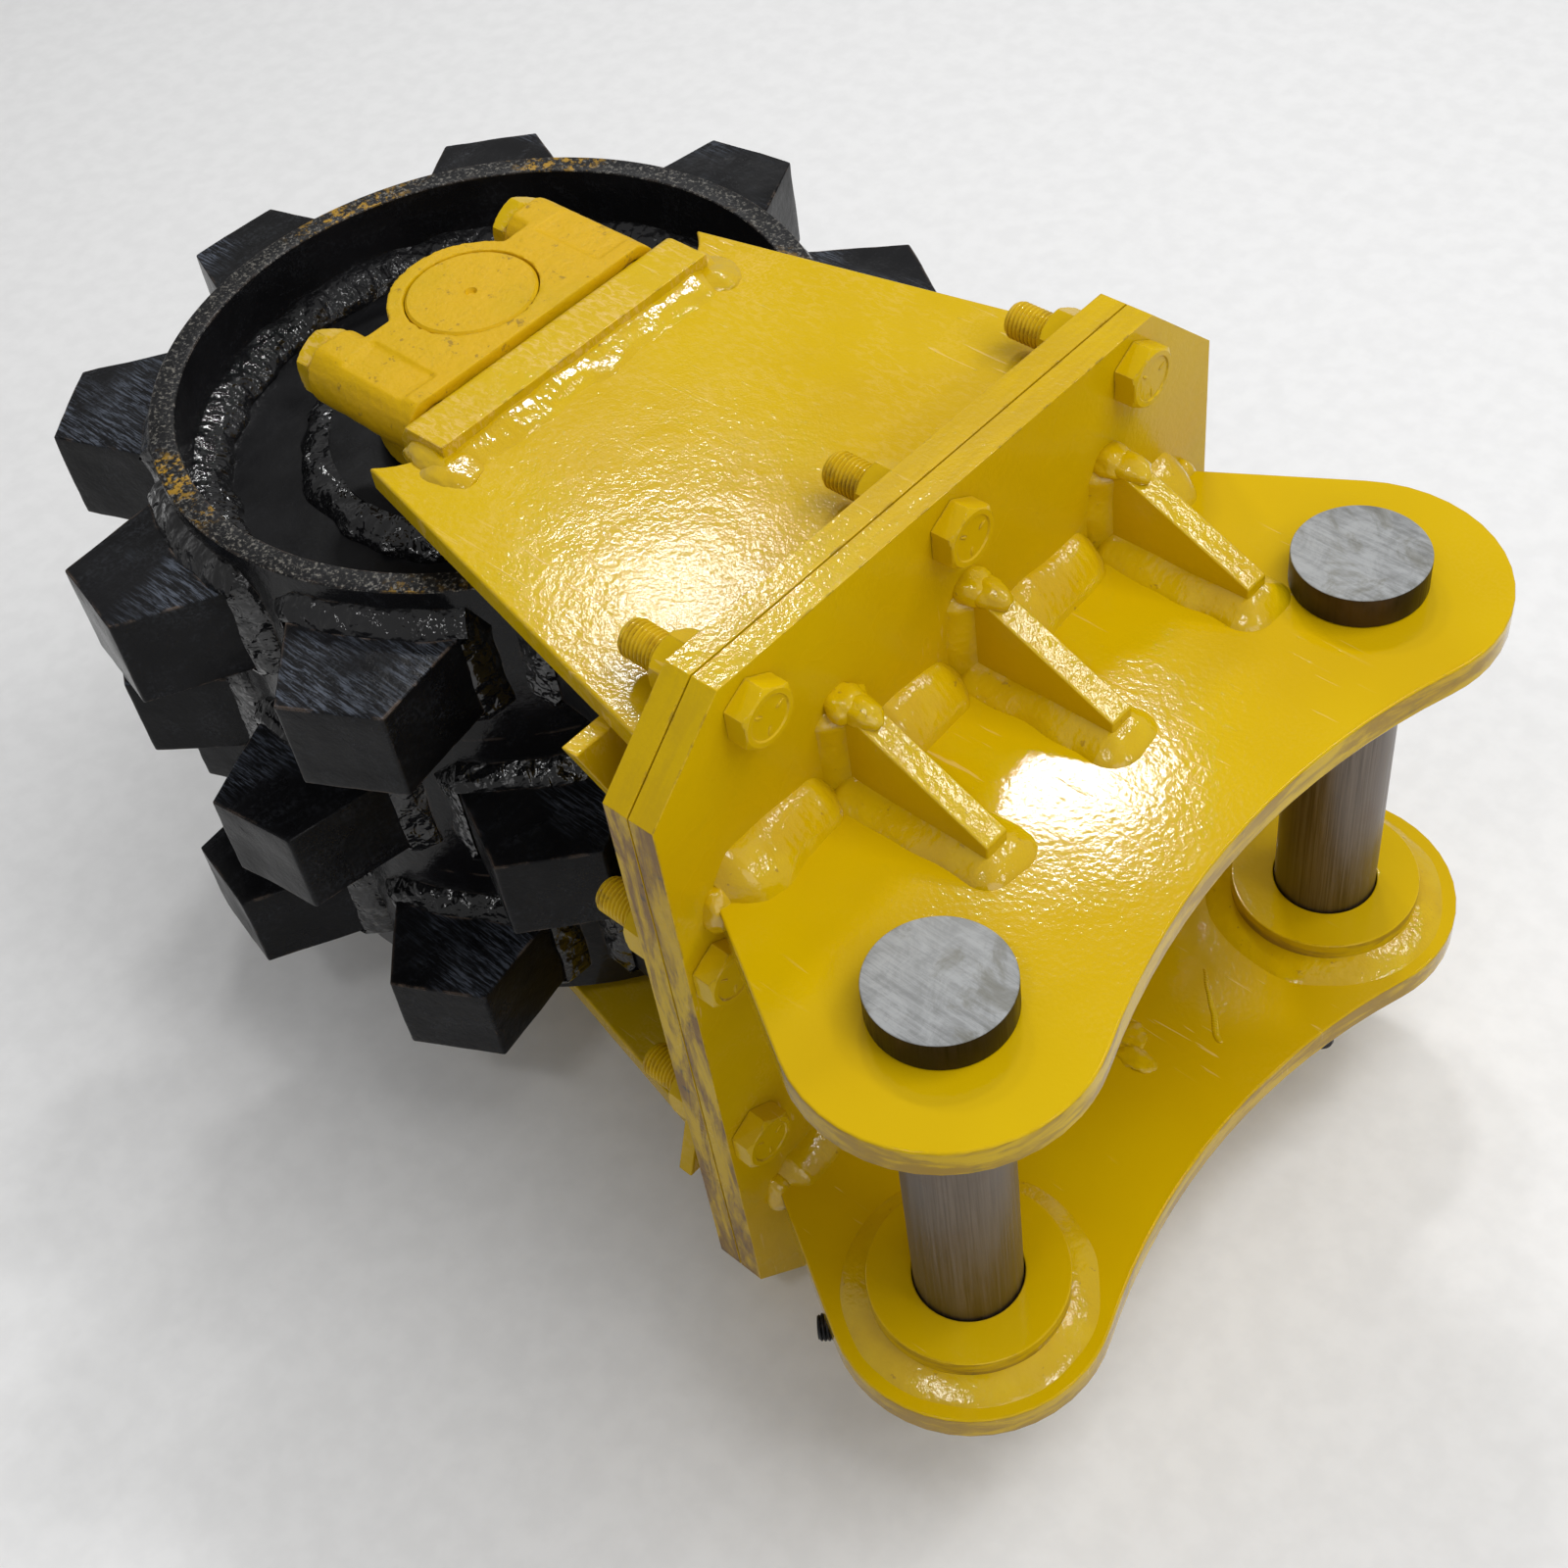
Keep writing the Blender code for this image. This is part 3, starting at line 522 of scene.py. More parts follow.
def yellow_cast(name):
    """Enamel over a sand-cast skin, with rubbed high spots."""
    p = Paint(name)
    colour = p.blend(p.band(p.noise(14, 4), 0.35, 0.7), CAST_GOLD, DEEP_GOLD)
    grit = p.noise(420, 4, 0.7)
    colour = p.blend(p.band(grit, 0.60, 0.72, 0.0, 0.3), colour, PALE_GOLD)
    dirt = p.times(p.band(p.noise(130, 5, 0.7), 0.60, 0.68), 0.6)
    colour = p.blend(dirt, colour, (0.16, 0.09, 0.02, 1))
    edge = p.times(p.edges(0.0016), p.band(p.noise(80, 4), 0.5, 0.62))
    colour = p.blend(edge, colour, TAN)
    p.bump([(grit, 0.35, 0.0012), (p.noise(90, 3), 0.35, 0.0020)])
    return p.finish(colour, p.band(grit, 0.3, 0.7, 0.34, 0.5), coat=0.03, shine=0.14)


def black(name, gloss=0.2, scuff=0.4, grain=1.0, edge_wear=0.5, speck=0.0, overspray=0.0, coat=0.0,
          shine=0.25, top_scratch_and_reflection=0.0, pebble=0.0):
    """Gloss black enamel; scuffed where it has been handled, speckled bare on rims, and lighter
    blue-grey on up-facing faces, partly scratches and partly painted reflection.
    """
    p = Paint(name)
    colour = p.blend(p.band(p.noise(20, 3), 0.3, 0.7), JET, SOFT_BLACK)
    rub = p.noise(1.0, 6, 0.75, 0.7, p.stretched((60, 14, 40), (0, 0, 25)))
    fine = p.noise(520, 3, 0.7)
    scuffed = p.times(p.times(p.band(rub, 0.45, 0.75), p.band(fine, 0.42, 0.66)), scuff)
    colour = p.blend(scuffed, colour, (0.10, 0.11, 0.13, 1))
    # Up-facing faces get blue-grey streaks: partly real scratches, partly a painted reflection that
    # lightens the faces turned to the light above.
    if top_scratch_and_reflection:
        top = p.band(p.facing((0.0, 0.0, 1.0)), 0.5, 0.9)
        scrape = p.noise(1.0, 6, 0.8, 0.3, p.stretched((70, 900, 90), (0, 0, 50)))
        marks = p.times(p.band(scrape, 0.48, 0.60), p.band(p.noise(13, 3), 0.44, 0.60))
        top_scratch_reflection_mask = p.times(p.times(top, marks), top_scratch_and_reflection)
        colour = p.blend(top_scratch_reflection_mask, colour, (0.085, 0.098, 0.125, 1))
    if edge_wear:
        edge = p.times(p.edges(0.0022), p.band(p.noise(60, 5, 0.7), 0.46, 0.60))
        colour = p.blend(p.times(edge, edge_wear), colour, (0.17, 0.125, 0.095, 1))
    if speck:
        flecks = p.times(p.band(p.noise(520, 5, 0.8), 0.53, 0.61), speck)
        colour = p.blend(flecks, colour, (0.17, 0.16, 0.14, 1))
    if overspray:
        side = p.facing((0.0, 0.0, 1.0))
        region = p.band(p.noise(11, 2), 0.53, 0.64)
        dots = p.times(p.band(p.noise(230, 5, 0.75), 0.51, 0.58), p.band(side, 0.6, 0.9))
        dots = p.times(p.times(dots, region), overspray)
        colour = p.blend(dots, colour, (0.50, 0.28, 0.02, 1))
    rough = p.math("ADD", p.band(p.noise(24, 3), 0.3, 0.7, gloss * 0.75, gloss * 1.35),
                   p.times(scuffed, 0.5))
    layers = [(fine, 0.12 * grain, 0.0006), (p.noise(75, 4, 0.6), 0.35 * grain, 0.0014),
              (rub, 0.2 * grain, 0.0010)]
    if pebble:
        layers.append((p.noise(150, 2, 0.45, 0.3), pebble, 0.0036))
    p.bump(layers)
    return p.finish(colour, rough, coat=coat, shine=shine)


def steel(name, light, dark, rough, stain=0.5):
    """Turned or ground steel with fine lines and brown oil stains."""
    p = Paint(name)
    lines = p.noise(1.0, 4, 0.7, 0.0, p.stretched((900, 900, 14)))
    colour = p.blend(p.band(lines, 0.3, 0.7), dark, light)
    film = p.band(p.noise(17, 5, 0.6, 0.8), 0.45, 0.68)
    colour = p.blend(p.times(film, stain), colour, (0.13, 0.085, 0.06, 1))
    p.bump([(lines, 0.12, 0.0004), (p.noise(140, 4), 0.08, 0.0006)])
    return p.finish(colour, p.band(lines, 0.3, 0.7, rough * 0.8, rough * 1.3), metallic=0.9)


def pin_face(name):
    """Sawn pin head: light scratched steel with a grey smear."""
    p = Paint(name)
    scratch = p.noise(1.0, 5, 0.75, 0.3, p.stretched((38, 520, 60), (0, 0, 35)))
    both = p.times(p.math("ADD", scratch, p.noise(75, 5, 0.7, 0.8)), 0.5)
    colour = p.blend(p.band(both, 0.38, 0.62), (0.20, 0.205, 0.205, 1), (0.35, 0.36, 0.365, 1))
    smear = p.band(p.noise(42, 5, 0.65, 1.0), 0.50, 0.66)
    colour = p.blend(p.times(smear, 0.6), colour, (0.135, 0.13, 0.10, 1))
    p.bump([(both, 0.2, 0.0005)])
    return p.finish(colour, p.band(both, 0.3, 0.7, 0.38, 0.6), metallic=0.2, shine=0.2)


PLATE = yellow("plate_enamel", dust=0.45, wear=0.55, grain=0.85, scrape=0.12)
EAR = yellow("ear_enamel", dust=0.10, wear=0.6, gloss=0.11, grain=0.5, side_wear=0.65)
# Flange: brown bare patches on the ±Y sides, partly wear and partly painted shade.
FLANGE = yellow("flange_enamel", dust=0.2, wear=0.8, gloss=0.26, side_wear=1.0, plate_normal=(1, 0, 0),
                shaded_worn_side=(0, 1, 0))
SCUFFED = yellow("bar_enamel", dust=0.6, wear=1.0, gloss=0.3, grain=1.3, scrape=0.4)
FASTENER = yellow("fastener_enamel", dust=0.15, wear=0.7, gloss=0.2)
WELD = yellow_weld("weld_enamel")
CAST = yellow_cast("cast_enamel")
# The feet's up-facing faces take the blue-grey scratches and the painted reflection.
BLACK_FOOT = black("foot_enamel", gloss=0.28, scuff=0.2, edge_wear=1.0, top_scratch_and_reflection=0.9, shine=0.12)
BLACK_SHELL = black("shell_enamel", gloss=0.17, scuff=0.12, edge_wear=0.3, coat=0.1, shine=0.15)
BLACK_RIM = black("rim_enamel", gloss=0.35, scuff=0.4, speck=0.9, overspray=0.7, edge_wear=0.6,
                  shine=0.15)
BLACK_WEB = black("web_enamel", gloss=0.3, scuff=0.08, grain=0.4, edge_wear=0.0, shine=0.12)
BLACK_WELD = black("black_weld_enamel", gloss=0.13, scuff=0.02, grain=1.5, edge_wear=0.0, coat=1.0,
                   shine=0.12, pebble=0.75)
BLACK_BOLT = black("black_oxide", gloss=0.35, scuff=0.3, edge_wear=0.6)
PIN_SHAFT = steel("pin_steel", (0.20, 0.168, 0.142, 1), (0.105, 0.086, 0.072, 1), 0.36)
PIN_HEAD_SIDE = steel("pin_head_side", (0.040, 0.030, 0.024, 1), (0.02, 0.016, 0.014, 1), 0.4)
PIN_HEAD = pin_face("pin_head_face")
GROUND = steel("ground_steel", (0.5, 0.49, 0.47, 1), (0.36, 0.35, 0.33, 1), 0.25, stain=0.15)
BRONZE = steel("bronze", (0.62, 0.40, 0.18, 1), (0.46, 0.29, 0.12, 1), 0.3, stain=0.2)


# Frame plates ----------------------------------------------

def edges_along_y(bm, x, z):
    """Edges that run along Y through a place in X and Z."""
    near = 0.0003
    return [edge for edge in bm.edges
            if all(abs(vert.co.x - x) < near and abs(vert.co.z - z) < near for vert in edge.verts)]


def bevel(bm, edges, width, segments):
    bmesh.ops.bevel(bm, geom=edges, offset=width, segments=segments, profile=0.5, affect="EDGES",
                    clamp_overlap=True)


def bar_mesh(level):
    """The bar's outer corner towards the collar is worn round, the one at the weld is sharp."""
    bm = cad_solid("collar_bar_" + level)
    top = faces(level, "collar_bar_" + level)[1]
    bevel(bm, edges_along_y(bm, low("collar_bar_" + level).x, top), BAR_WORN_R, 8)
    round_edges(bm, 0.0010, 2, above=50)
    return to_mesh(bm, "bar")


def rib_mesh(level, node):
    """A gusset with its flame-cut corner rolled over and its long edges full of paint."""
    bm = cad_solid(node)
    top = faces(level, node)[1]
    land = max(vert.co.x for vert in bm.verts if abs(vert.co.z - top) < 0.001)
    bevel(bm, edges_along_y(bm, land, top), RIB_ROLL_R, 8)
    round_edges(bm, PAINT_FILLET, 3, above=40)
    mesh = to_mesh(bm, "rib")
    for face in mesh.polygons:
        if abs(face.normal.y) < 0.8:
            face.material_index = 1
    return mesh


def build_plates():
    for level in ("upper", "lower"):
        node = "side_plate_" + level
        yellow_piece("plate_side_" + level, plate_mesh(node, 0.0014), node, PLATE)
        node = "ear_plate_" + level
        yellow_piece("plate_ear_" + level, plate_mesh(node, 0.0011), node, EAR)
        yellow_piece("bar_" + level, bar_mesh(level), "collar_bar_" + level, SCUFFED)
    for node in ("wheel_flange", "hanger_flange"):
        yellow_piece("plate_" + node, plate_mesh(node, 0.0013), node, FLANGE)
    yellow_piece("plate_cross", plate_mesh("cross_plate", 0.0008), "cross_plate", PLATE)
    for level in ("upper", "lower"):
        for number in (1, 2, 3):
            node = "gusset_%s_%d" % (level, number)
            yellow_piece("rib_%s_%d" % (level, number), rib_mesh(level, node), node, FASTENER, WELD)


def gusset_welds(number, level, seed):
    """Fillets down both sides of a gusset and round its nose, up the flange, and a ball on top."""
    node = "gusset_%s_%d" % (level, number)
    a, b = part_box(node)
    up, top, base = faces(level, node)
    x0 = a.x
    x1 = b.x
    path = line(Vector((x0, a.y, base)), Vector((x1 - 0.001, a.y, base)))
    corner = 0.001
    for centre_y, first, last in ((a.y + corner, 270, 360), (b.y - corner, 0, 90)):
        for step in range(7):
            angle = math.radians(first + (last - first) * step / 6)
            path.append(Vector((x1 - corner + corner * math.cos(angle),
                                centre_y + corner * math.sin(angle), base)))
    path += line(Vector((x1 - 0.001, b.y, base)), Vector((x0, b.y, base)))
    outward = []
    for point in path:
        if point.x < x1 - 0.0011:
            outward.append(-Y if point.y < (a.y + b.y) / 2 else Y)
        else:
            centre = Vector((x1 - corner, min(max(point.y, a.y + corner), b.y - corner), base))
            away = point - centre
            outward.append(away.normalized() if away.length > 0.0002 else X)
    parts = [weld(path, outward, up, (0.0105, 0.0070), seed, round_power=1.3, rough=0.22)]
    for y, direction in ((a.y, -Y), (b.y, Y)):
        start = Vector((x0, y, base))
        end = Vector((x0, y, top - up.z * 0.002))
        parts.append(weld(line(start - up * 0.004, end), direction, X, (0.008, 0.0075), seed + y * 90,
                          round_power=1.35, rough=0.25))
    mid_y = (a.y + b.y) / 2
    ball = Vector((x0 + 0.0030, mid_y - 0.0010, top - up.z * 0.0010))
    run = Vector((x0 + 0.0085, mid_y, top - up.z * 0.0016))
    parts.append(blob(ball, (0.0085, 0.0088, 0.0068), seed))
    parts.append(blob(run, (0.0120, 0.0070, 0.0060), seed + 2))
    return parts


def ear_welds(level, seed):
    """Fat convex beads that join an ear to the flange, broken by the gussets on the outside."""
    up, outer_z, inner_z = faces(level, "ear_plate_" + level)
    x0 = FLANGE_FRONT
    reach = 0.1425
    stops = [-reach]
    for number in (1, 2, 3):
        node = "gusset_%s_%d" % (level, number)
        stops += [low(node).y - 0.006, high(node).y + 0.006]
    stops.append(reach)
    parts = []
    for i in range(0, len(stops), 2):
        start = Vector((x0, stops[i], outer_z))
        end = Vector((x0, stops[i + 1], outer_z))
        parts.append(weld(line(start, end), X, up, (0.0160, 0.0155), seed + i, round_power=1.45,
                          rough=0.14, swell=0.12))
    inner = line(Vector((x0, -reach, inner_z)), Vector((x0, reach, inner_z)))
    parts.append(weld(inner, X, -up, (0.0125, 0.0120), seed + 11, round_power=1.5, rough=0.25))
    for side in (-1, 1):
        centre = Vector((x0 + 0.001, side * 0.1435, (outer_z + inner_z) / 2))
        parts.append(blob(centre, (0.0075, 0.0075, 0.0115), seed + 20 + side))
    return parts


def bar_welds(level, seed):
    """The bar's rough two-run weld on the side plate, wrapped round its ends."""
    a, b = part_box("collar_bar_" + level)
    up, plate, _ = faces(level, "side_plate_" + level)
    corner = Vector((b.x, 0, plate))
    path = line(corner + Y * (a.y + 0.002), corner + Y * (b.y - 0.002))
    parts = [weld(path, X, up, (0.0150, 0.0048), seed, round_power=1.25, ripple=0.00020, rough=0.22,
                  grain=0.14)]
    for side in (-1, 1):
        end = Vector((b.x + 0.003, side * (b.y - 0.001), plate - up.z * 0.0010))
        parts.append(blob(end, (0.0150, 0.0125, 0.0045), seed + side, lump=0.2))
        beside = Vector(((a.x + b.x) / 2 + 0.004, side * (b.y + 0.0005), plate - up.z * 0.0010))
        parts.append(blob(beside, (0.0150, 0.0070, 0.0062), seed + 2 * side, lump=0.2))
    return parts


def flange_welds(seed):
    """Fillets between the wheel flange and the side plates, and the cross plate's tacks."""
    x0 = low("wheel_flange").x
    parts = []
    for level in ("upper", "lower"):
        up, outer, inner = faces(level, "side_plate_" + level)
        reach = high("side_plate_" + level).y - 0.002
        for z, direction, leg in ((outer, up, 0.0065), (inner, -up, 0.0085)):
            path = line(Vector((x0, -reach, z)), Vector((x0, reach, z)))
            parts.append(weld(path, -X, direction, (leg * 1.2, leg), seed + z * 50, rough=0.25))
        cross_x = high("cross_plate").x
        path = line(Vector((cross_x, -0.125, inner)), Vector((cross_x, 0.125, inner)))
        parts.append(weld(path, X, -up, (0.006, 0.006), seed + inner * 30, rough=0.25))
    return parts


def lower_ear_marks():
    """A puddle of weld metal and a run of paint on the lower ear's inner face."""
    face = high("ear_plate_lower").z
    puddle = Vector((0.242, 0.002, face - 0.0004))
    parts = [blob(puddle, (0.0095, 0.0060, 0.0026), 4, lump=0.3),
             blob(puddle + Vector((-0.009, 0.009, 0)), (0.0080, 0.0070, 0.0022), 9, lump=0.3)]
    start = Vector((0.238, 0.058, face))
    end = Vector((0.265, 0.034, face))
    for step, point in enumerate(line(start, end, 0.0012)):
        swell = 0.7 + 0.6 * step * 0.0012 / (end - start).length
        sway = Vector((0.0, 0.003 * wobble(step * 0.12, 5), 0.0))
        radii = (0.0016 * swell, 0.0010 * swell, 0.0008 * swell)
        parts.append(blob(point + sway, radii, 2, lump=0.05))
    return parts


def build_frame_welds():
    for level, seed in (("upper", 1.0), ("lower", 31.0)):
        for number in (1, 2, 3):
            mesh = merge(gusset_welds(number, level, seed + 4 * number))
            yellow_piece("weld_rib_%s_%d" % (level, number), mesh, None, WELD)
        yellow_piece("weld_ear_" + level, merge(ear_welds(level, seed + 3)), None, WELD)
        yellow_piece("weld_bar_" + level, merge(bar_welds(level, seed + 9)), None, WELD)
    yellow_piece("weld_flange_back", merge(flange_welds(71.0)), None, WELD)
    yellow_piece("marks_ear_lower", merge(lower_ear_marks()), None, WELD)


# Pins, bosses and their locks ------------------------------

def build_pins():
    for side in ("left", "right"):
        node = "pin_" + side
        a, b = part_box(node)
        centre = middle(node)
        head_low = high("ear_plate_upper").z + SEAT_GAP
        head_r = (b.x - a.x) / 2
        place = Vector((centre.x, centre.y, 0.0))
        head = [(TINY_R, head_low), (head_r, head_low), (head_r, b.z), (TINY_R, b.z)]
        head = rounded_profile(head, 0.0007)
        head_mesh = lathe(head, place, count=128)
        for face in head_mesh.polygons:
            face.material_index = 1 if face.normal.z > 0.6 else 2
        shaft = rounded_profile([(TINY_R, a.z), (PIN_R, a.z), (PIN_R, head_low)], 0.003)
        shaft_mesh = lathe(shaft, place, count=128)
        add_piece("headed_pin_" + side, merge([head_mesh, shaft_mesh]), "frame",
                  [PIN_SHAFT, PIN_HEAD, PIN_HEAD_SIDE], [node])
        for level in ("upper", "lower"):
            build_boss(level, side, place)
        node = "pin_collar_" + side
        yellow_piece("retaining_collar_" + side, plate_mesh(node, 0.0012), node, FASTENER)


def build_boss(level, side, place):
    node = "pin_boss_%s_%s" % (level, side)
    a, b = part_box(node)
    bore = PIN_R + 0.0005
    profile = [(bore, a.z), (BOSS_R, a.z), (BOSS_R, b.z), (bore, b.z)]
    soft = rounded_profile(profile + [profile[0], profile[1]], 0.0010)[1:-1]
    turned = lathe(soft, place, count=128, hollow=True)
    yellow_piece("boss_%s_%s" % (level, side), turned, node, EAR)
    up, base, _ = faces(level, node)
    centre = place + Z * base
    seed = 3.0 if side == "left" else 8.0
    bead = ring_weld(centre, BOSS_R, False, -up, (0.0118, 0.0050), seed, round_power=1.25, rough=0.2)
    yellow_piece("weld_boss_%s_%s" % (level, side), bead, None, WELD)


# Fasteners -------------------------------------------------

def hex_radius(flats, angle):
    """Distance to a hexagon's side at an angle, with its corners a little rounded."""
    total = 0.0
    for side in range(6):
        share = math.cos(angle - (side + 0.5) * math.pi / 3) / flats
        if share > 0:
            total += share ** 80
    return total ** (-1 / 80)


def hex_block(flats, start, end, chamfer_start, chamfer_end):
    """Stations of a hexagon between two heights with its corners turned off at either end."""
    half = flats / 2
    corner = half / math.cos(math.pi / 6)

    def ring(limit):
        return lambda angle: min(hex_radius(half, angle), limit)

    rise = 0.0018 if end > start else -0.0018
    plain = [(ring(corner), 0.0)]
    turned = [(ring(half * 0.97), 0.0), (ring(half * 1.035), 0.33), (ring(half * 1.11), 0.72),
              (ring(corner), 1.0)]
    first = turned if chamfer_start else plain
    last = turned if chamfer_end else plain
    return ([(limit, start + rise * share) for limit, share in first]
            + [(limit, end - rise * share) for limit, share in reversed(last)])


def thread_mesh(radius, start, end, pitch, centre):
    """A cut helical thread along X from start to end, with a chamfered tip at end."""
    count = 40
    rows = int(abs(end - start) / pitch * 7)
    depth = 0.6 * pitch
    bm = bmesh.new()
    loops = []
    for row in range(rows + 1):
        x = start + (end - start) * row / rows
        tip = min(1.0, abs(end - x) / (1.6 * depth))
        loop = []
        for step in range(count):
            angle = 2 * math.pi * step / count
            phase = (abs(x - start) / pitch + step / count) % 1.0
            tooth = max(0.0, min(1.0, 1.6 - 3.2 * abs(phase - 0.5)))
            reach = radius - depth + depth * tooth * tip
            loop.append(bm.verts.new((x, reach * math.cos(angle), reach * math.sin(angle))))
        loops.append(loop)
    skin(bm, loops)
    bmesh.ops.translate(bm, verts=bm.verts, vec=centre)
    return to_mesh(bm, "thread")


def grade_ticks(centre, radius, count, height):
    """Short raised radial marks on a bolt head's end."""
    parts = []
    for step in range(count):
        angle = 2 * math.pi * step / count + 0.4
        radial = Vector((0, math.cos(angle), math.sin(angle)))
        parts.append(blob(centre + radial * radius, (height, 0.0021, 0.0007), step,
                          Matrix.Rotation(angle, 3, "X"), lump=0.05))
    return parts


def bolt_parts(x_head, x_nut, x_end, flats, radius, pitch, place, head=HEAD_HEIGHT,
               undercut=False):
    """Bolt along X: head outside x_head, nut behind x_nut if given, thread out to x_end."""
    sign = 1 if x_head > x_end else -1
    at = Vector((0, place.y, place.z))
    stations = hex_block(flats, x_head, x_head + sign * head, undercut, True)
    dish = flats / 2
    end = x_head + sign * head
    stations += [(dish * 0.80, end), (dish * 0.76, end - sign * DISH_DEPTH),
                 (0.0006, end - sign * DISH_DEPTH)]
    parts = [lathe(stations, at, "X", 72)]
    parts += grade_ticks(at + X * (end - sign * DISH_DEPTH), dish * 0.52, 3, 0.0005)
    if x_nut is not None:
        tall = 0.8 * 2 * radius
        parts.append(lathe(hex_block(flats, x_nut, x_nut - sign * tall, True, True), at, "X", 72))
        start = x_nut - sign * (tall - 0.001)
        parts.append(thread_mesh(radius, start, x_end, pitch, at))
    return parts


def build_bolts():
    nodes = sorted(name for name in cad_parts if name.startswith("flange_bolt"))
    nut_at = low("wheel_flange").x - SEAT_GAP
    for node in nodes:
        place = middle(node)
        parts = bolt_parts(FLANGE_FRONT + SEAT_GAP, nut_at, low(node).x, FLANGE_HEAD,
                           FLANGE_SHANK_R, FLANGE_PITCH, place)
        add_piece("hex_" + node, merge(parts), "frame", [FASTENER], [node],
                  smooth=HEX_SHARP)
    for number in (1, 2, 3, 4):
        node = "collar_bolt_%d" % number
        place = middle(node)
        boss_end = low(node).x + HEAD_HEIGHT
        shank = [(COLLAR_SHANK_R, boss_end), (COLLAR_SHANK_R, high(node).x)]
        shank = lathe(shank, Vector((0, place.y, place.z)), "X", 48)
        parts = bolt_parts(boss_end, None, high(node).x, COLLAR_HEAD, COLLAR_SHANK_R, COLLAR_PITCH,
                           place, undercut=True)
        add_piece("hex_" + node, merge(parts + [shank]), "frame", [SCUFFED], [node],
                  smooth=HEX_SHARP)
    for side in ("left", "right"):
        build_lock_bolt(side)


def build_lock_bolt(side):
    """The black bolt through a pin and its collar, at the CAD bolt's own slant."""
    node = "pin_lock_bolt_" + side
    a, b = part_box(node)
    pin = middle("pin_" + side)
    centre = Vector((pin.x, pin.y, (a.z + b.z) / 2))
    ends = [vert.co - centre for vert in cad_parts[node].data.vertices]
    tip = max(ends, key=lambda away: Vector((away.x, away.y)).length)
    at = Vector((0, 0, 0))
    parts = bolt_parts(LOCK_SEAT, -LOCK_SEAT, -LOCK_REACH, LOCK_HEAD, LOCK_SHANK_R, LOCK_PITCH, at,
                       head=0.0075)
    parts.append(lathe([(LOCK_SHANK_R, -LOCK_SEAT), (LOCK_SHANK_R, LOCK_SEAT)], at, "X", 40))
    mesh = merge(parts)
    angle = math.atan2(-tip.y, -tip.x)
    mesh.transform(Matrix.Translation(centre) @ Matrix.Rotation(angle, 4, "Z"))
    add_piece("lock_bolt_" + side, mesh, "frame", [BLACK_BOLT], [node], smooth=HEX_SHARP)


# Collars and the roller's ends -----------------------------

def cut(base_mesh, tools):
    """Cut closed meshes from another with exact Booleans."""
    holder = linked("cut_base", base_mesh)
    helpers = []
    for tool_mesh in tools:
        tool = linked("cut_tool", tool_mesh)
        change = holder.modifiers.new("cut", "BOOLEAN")
        change.operation = "DIFFERENCE"
        change.solver = "EXACT"
        change.object = tool
        helpers.append(tool)
    result = applied(holder)
    for item in helpers:
        bpy.data.objects.remove(item, do_unlink=True)
    return result


def box_mesh(a, b):
    bm = bmesh.new()
    bmesh.ops.create_cube(bm, size=1.0)
    bmesh.ops.scale(bm, verts=bm.verts, vec=b - a)
    bmesh.ops.translate(bm, verts=bm.verts, vec=(a + b) / 2)
    return to_mesh(bm, "box")


def soften(mesh, voxel, rounds, lumps):
    """Remesh a solid into even voxels, smooth it like a casting and give it a slight lumpiness."""
    holder = linked("soften", mesh)
    grid = holder.modifiers.new("grid", "REMESH")
    grid.mode = "VOXEL"
    grid.voxel_size = voxel
    relax = holder.modifiers.new("relax", "SMOOTH")
    relax.factor = 0.5
    relax.iterations = rounds
    result = applied(holder)
    normals = [vert.normal.copy() for vert in result.vertices]
    for vert, normal in zip(result.vertices, normals):
        push = noise.noise(vert.co * 55) * lumps + noise.noise(vert.co * 210) * lumps * 0.4
        vert.co = vert.co + normal * (push - 0.6 * lumps)
    return result


def build_collars():
    for level, up in (("upper", 1), ("lower", -1)):
        node = "collar_" + level
        a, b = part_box(node)
        face_z = b.z if up > 0 else a.z
        base = to_mesh(cad_solid(node), node)
        tools = []
        for side in (-1, 1):
            panel_a = Vector((AXLE.x - 0.010, side * 0.058 - 0.0105, face_z - 0.0011))
            panel_b = Vector((AXLE.x + 0.031, side * 0.058 + 0.0105, face_z + 0.0011))
            tools.append(box_mesh(panel_a, panel_b))
        mesh = soften(cut(base, tools), 0.0011, 4, 0.00035)
        add_piece("casting_" + level, mesh, "frame", [CAST], [node], smooth=60)
    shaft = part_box("roller_shaft")
    half = (shaft[1].z - shaft[0].z) / 2
    top = [(SHAFT_R, 0.0), (SHAFT_R, half - 0.0012), (SHAFT_R - 0.0012, half - 0.0001),
           (0.0028, half - 0.0001), (0.0016, half - 0.0018), (0.0004, half - 0.0022)]
    profile = [(r, -z) for r, z in reversed(top)] + top[1:]
    add_piece("axle_shaft", lathe(profile, AXLE), "frame", [CAST], ["roller_shaft"])


# Drum ------------------------------------------------------

def ring_mesh(row):
    """One third of the drum shell; the end rows have the rounded rim."""
    node = "drum_ring_" + ("upper", "middle", "lower")[row]
    a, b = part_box(node)
    seam_low = a.z - (SEAM if row < 2 else 0.0)
    seam_high = b.z + (SEAM if row > 0 else 0.0)
    section = [(DRUM_BORE_R, seam_low), (DRUM_R, seam_low),
               (DRUM_R, seam_high), (DRUM_BORE_R, seam_high)]
    if row == 0:
        section = section[:2] + rounded_profile(section[1:] + section[:1], RIM_EDGE)[1:-1]
    if row == 2:
        section = rounded_profile(section[3:] + section[:3], RIM_EDGE)[1:-1] + section[2:]
    mesh = lathe(section, AXLE_FOOT, count=216, hollow=True)
    for face in mesh.polygons:
        if abs(face.normal.z) > 0.5 and row != 1:
            face.material_index = 1
    return mesh


def row_level(row):
    return middle("drum_ring_middle").z + ROW_PITCH * (1 - row)


def foot_angle(row, number):
    shift = 180.0 / FEET_PER_ROW if row == 1 else 0.0
    return math.radians(FIRST_FOOT_DEG + shift + 360.0 / FEET_PER_ROW * number)


